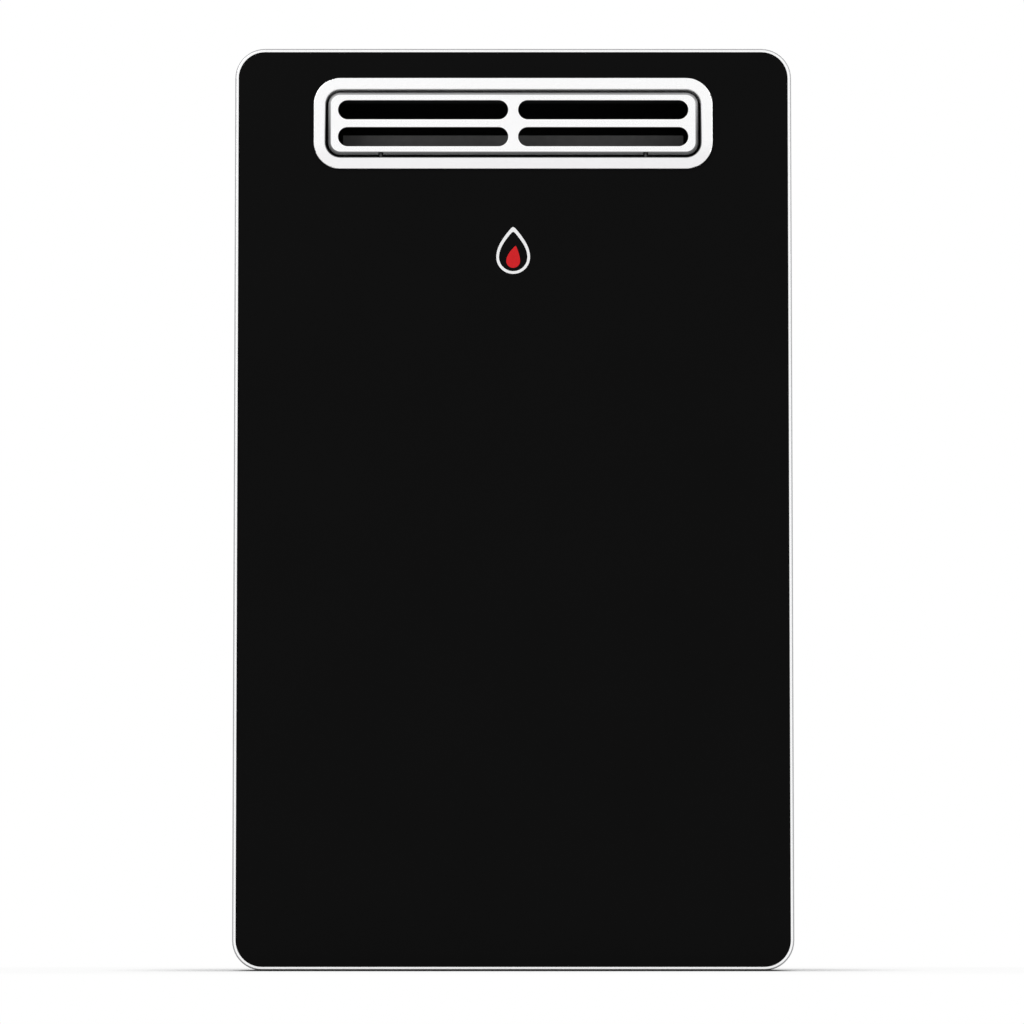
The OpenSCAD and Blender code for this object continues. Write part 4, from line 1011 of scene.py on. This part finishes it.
nut_seats = []
thread_seats = []
nut_turn = Matrix.Rotation(math.pi / 6, 4, "Z")
for fitting in ("hot_fitting", "gas_fitting", "cold_fitting"):
    fitting_low, fitting_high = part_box(fitting)
    stub = Vector(((fitting_low.x + fitting_high.x) / 2, (nut_low.y + nut_high.y) / 2, 0))
    nut_seats.append(Matrix.Translation(stub + Vector((0, 0, nut_low.z))) @ nut_turn)
    thread_seats.append(Matrix.Translation(stub + Vector((0, 0, fitting_low.z + thread_pitch))))
nuts = repeat(hexagon_nut(nut_radius, nut_bore, nut_height), nut_seats)
lock_nuts = make_piece("lock_nuts", nuts, brass)
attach(lock_nuts, "heater_chassis")
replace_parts(lock_nuts, "fitting_nuts")
ridges = repeat(pipe_thread(stub_radius, thread_depth, thread_pitch, thread_turns), thread_seats)
pipe_threads = make_piece("pipe_threads", ridges, brass)
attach(pipe_threads, "heater_chassis")

# Mouldings: black or white nylon, injection moulded and screwed, pushed or clipped in place. The
# frost heaters beside the pipes are ceramic bars.
spark_size = 0.0005
spark_depth = 0.00003
flow_size = 0.02


def moulded(name, light, dark, rough):
    """Injection-moulded plastic with a fine spark-eroded texture."""
    finish, shader, start = new_finish(name)
    place = place_on(start)
    spark = grain(place, spark_size)
    flow = grain(place, flow_size)
    feed(shader, {
        "Base Color": mix(flow * 0.6 + spark * 0.4, dark, light),
        "Roughness": rough + spark * 0.14,
        "Normal": relief(spark, spark_depth),
    })
    return finish


black_plastic = moulded("black_plastic", (0.030, 0.030, 0.031), (0.014, 0.014, 0.015), 0.42)
white_plastic = moulded("white_plastic", (0.82, 0.82, 0.79), (0.72, 0.72, 0.68), 0.40)
dress(black_plastic, "spark_module", "gas_coils", "water_plugs", "flow_sensor", "power_gland",
      "overheat_switch")
dress(white_plastic, "control_tray", "flow_carriers", "flow_rotor")
dress(ceramic, "frost_heaters")

# Leads: the spark and flame leads are red silicone, on which dust clings in patches. The loom to the
# valve, probes and motor has a soft black sleeve.
clean_red = (0.42, 0.030, 0.020)
dusty_red = (0.55, 0.075, 0.05)
dust_size = 0.004


def red_silicone():
    finish, shader, start = new_finish("red_silicone")
    dust = grain(place_on(start), dust_size)
    feed(shader, {
        "Base Color": mix(dust, clean_red, dusty_red),
        "Roughness": 0.42 + dust * 0.2,
    })
    return finish


dress(red_silicone(), "ignition_leads")
dress(soft_black, "wiring_loom")

# Control board: glass-fibre laminate under green solder mask, with raised copper tracks, screwed to
# the posts of the tray.
mask_green = (0.012, 0.12, 0.045)
track_green = (0.04, 0.26, 0.11)
track_pitch = 0.006
track_width = 0.04
weave_size = 0.0009
track_depth = 0.00006
black = (0, 0, 0, 1)
white = (1, 1, 1, 1)


def solder_mask():
    finish, shader, start = new_finish("solder_mask", Coat_Weight=0.3, Coat_Roughness=0.2)
    place = place_on(start)
    turned = start.node("Mapping", sockets={"Vector": place, "Rotation": (math.pi / 2, 0, 0)})
    tracks = turned.node("TexBrick", sockets={
        "Vector": turned, "Scale": 1 / track_pitch, "Mortar Size": track_width,
        "Color1": black, "Color2": black, "Mortar": white}, output="Fac")
    weave = grain(place, weave_size)
    feed(shader, {
        "Base Color": mix(tracks, mask_green, track_green),
        "Roughness": 0.34 + weave * 0.12,
        "Normal": relief(tracks + weave * 0.2, track_depth),
    })
    return finish


dress(solder_mask(), "control_board")

# Board parts: relays, a processor, smoothing capacitors, a transformer and four plug sockets, all
# soldered to the board. Bodies are moulded, and the heat sink, can tops and legs are aluminium.
board_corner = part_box("control_board")[0]
relay_rows = 3
row_low = 0.050
row_pitch = 0.014
relay_left, relay_width = 0.042, 0.018
relay_depth, relay_height = 0.0100, 0.011
relay_edge = 0.0007
can_across = 0.068
can_rise = 0.004
can_radius = 0.0045
can_sides = 32
can_profile = ((1, 0.0008), (0.93, 0.0013), (0.93, 0.0017), (1, 0.0022), (1, 0.0094), (0.9, 0.0099))
can_top = ((0.8, 0.0099), (0.72, 0.0100), (0.1, 0.0100))
chip_left, chip_low = 0.044, 0.024
chip_side = 0.014
chip_depth = 0.0016
chip_edge = 0.0003
chip_legs = 9
leg_start = 0.0011
leg_pitch = 0.0014
leg_width, leg_length = 0.0006, 0.0010
leg_depth = 0.0005
leg_edge = 0.0001
sink_left, sink_width = 0.008, 0.030
sink_low, sink_height = 0.036, 0.014
sink_base = 0.0020
sink_edge = 0.0003
sink_fins = 7
fin_pitch = 0.00475
fin_width = 0.0015
fin_depth = 0.0100
fin_edge = 0.0004
core_left, core_width = 0.006, 0.028
core_low, core_height = 0.063, 0.018
core_depth = 0.0080
core_edge = 0.0006
winding_left, winding_width = 0.011, 0.018
winding_levels = (0.058, 0.0811)
winding_height = 0.0049
winding_depth = 0.0110
winding_edge = 0.0015
socket_count = 4
socket_left, socket_width = 0.008, 0.013
socket_low, socket_height = 0.004, 0.008
socket_pitch = 0.017
socket_depth = 0.0080
socket_edge = 0.0004
socket_wall = 0.0008
socket_hollow = 0.0055


def on_board(x, depth, z):
    """A point this far from the board's lower left corner and in front of its face."""
    return board_corner + Vector((x, -depth, z))


def board_block(shape, left, width, depth, low, height, edge):
    """Adds a block with rounded edges that stands on the board, and returns its front face."""
    near = on_board(left, depth, low)
    far = on_board(left + width, 0, low + height)
    made = bmesh.ops.create_cube(shape, size=1)["verts"]
    bmesh.ops.scale(shape, vec=far - near, verts=made)
    bmesh.ops.translate(shape, vec=(near + far) / 2, verts=made)
    rims = list({rim for vert in made for rim in vert.link_edges})
    made = bmesh.ops.bevel(shape, geom=rims, offset=edge, affect="EDGES", segments=2, profile=0.5,
                           material=-1)
    sides = {side for vert in made["verts"] for side in vert.link_faces}
    return min(sides, key=lambda side: (side.calc_center_median().y, -side.calc_area()))


def turned_on_board(shape, x, z, radius, profile):
    """Adds a closed round body that stands on the board, from shares of its radius and heights."""
    foot = radius * profile[0][0]
    ring = bmesh.ops.create_circle(shape, cap_ends=True, segments=can_sides, radius=foot)["verts"]
    loop = list({rim for vert in ring for rim in vert.link_edges})
    before = set(shape.verts) - set(ring)
    steps = [(radius * share, height) for share, height in profile]
    bmesh.ops.edgeloop_fill(shape, edges=draw_out(shape, loop, steps))
    made = [vert for vert in shape.verts if vert not in before]
    stand = Matrix.Translation(on_board(x, 0, z)) @ Matrix.Rotation(math.pi / 2, 4, "X")
    bmesh.ops.transform(shape, matrix=stand, verts=made)


def board_piece(name, shape, finish):
    bmesh.ops.recalc_face_normals(shape, faces=shape.faces)
    piece = make_piece(name, shape, finish)
    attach(piece, "heater_chassis")
    return piece


bodies = bmesh.new()
metal = bmesh.new()
for row in range(relay_rows):
    level = row_low + row_pitch * row
    board_block(bodies, relay_left, relay_width, relay_depth, level, relay_height, relay_edge)
    turned_on_board(bodies, can_across, level + can_rise, can_radius, can_profile)
    turned_on_board(metal, can_across, level + can_rise, can_radius, can_top)
board_block(bodies, chip_left, chip_side, chip_depth, chip_low, chip_side, chip_edge)
for leg in range(chip_legs):
    along = leg_start + leg_pitch * leg
    for out in (-leg_length, chip_side):
        board_block(metal, chip_left + along, leg_width, leg_depth, chip_low + out, leg_length, leg_edge)
        board_block(metal, chip_left + out, leg_length, leg_depth, chip_low + along, leg_width, leg_edge)
board_block(metal, sink_left, sink_width, sink_base, sink_low, sink_height, sink_edge)
for fin in range(sink_fins):
    fin_left = sink_left + fin_pitch * fin
    board_block(metal, fin_left, fin_width, fin_depth, sink_low, sink_height, fin_edge)
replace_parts(board_piece("board_bodies", bodies, black_plastic), "board_parts")
board_piece("board_metal", metal, soft_aluminium)

transformer = bmesh.new()
board_block(transformer, core_left, core_width, core_depth, core_low, core_height, core_edge)
board_piece("transformer_core", transformer, dark_paint)
winding = bmesh.new()
for level in winding_levels:
    board_block(winding, winding_left, winding_width, winding_depth, level, winding_height, winding_edge)
board_piece("transformer_winding", winding, copper)

sockets = bmesh.new()
for number in range(socket_count):
    left = socket_left + socket_pitch * number
    mouth = board_block(sockets, left, socket_width, socket_depth, socket_low, socket_height, socket_edge)
    bmesh.ops.inset_region(sockets, faces=[mouth], thickness=socket_wall)
    hollow = bmesh.ops.extrude_face_region(sockets, geom=[mouth])["geom"]
    bmesh.ops.delete(sockets, geom=[mouth], context="FACES")
    bottom = [part for part in hollow if isinstance(part, bmesh.types.BMVert)]
    bmesh.ops.translate(sockets, verts=bottom, vec=(0, socket_hollow, 0))
board_piece("plug_sockets", sockets, white_plastic)
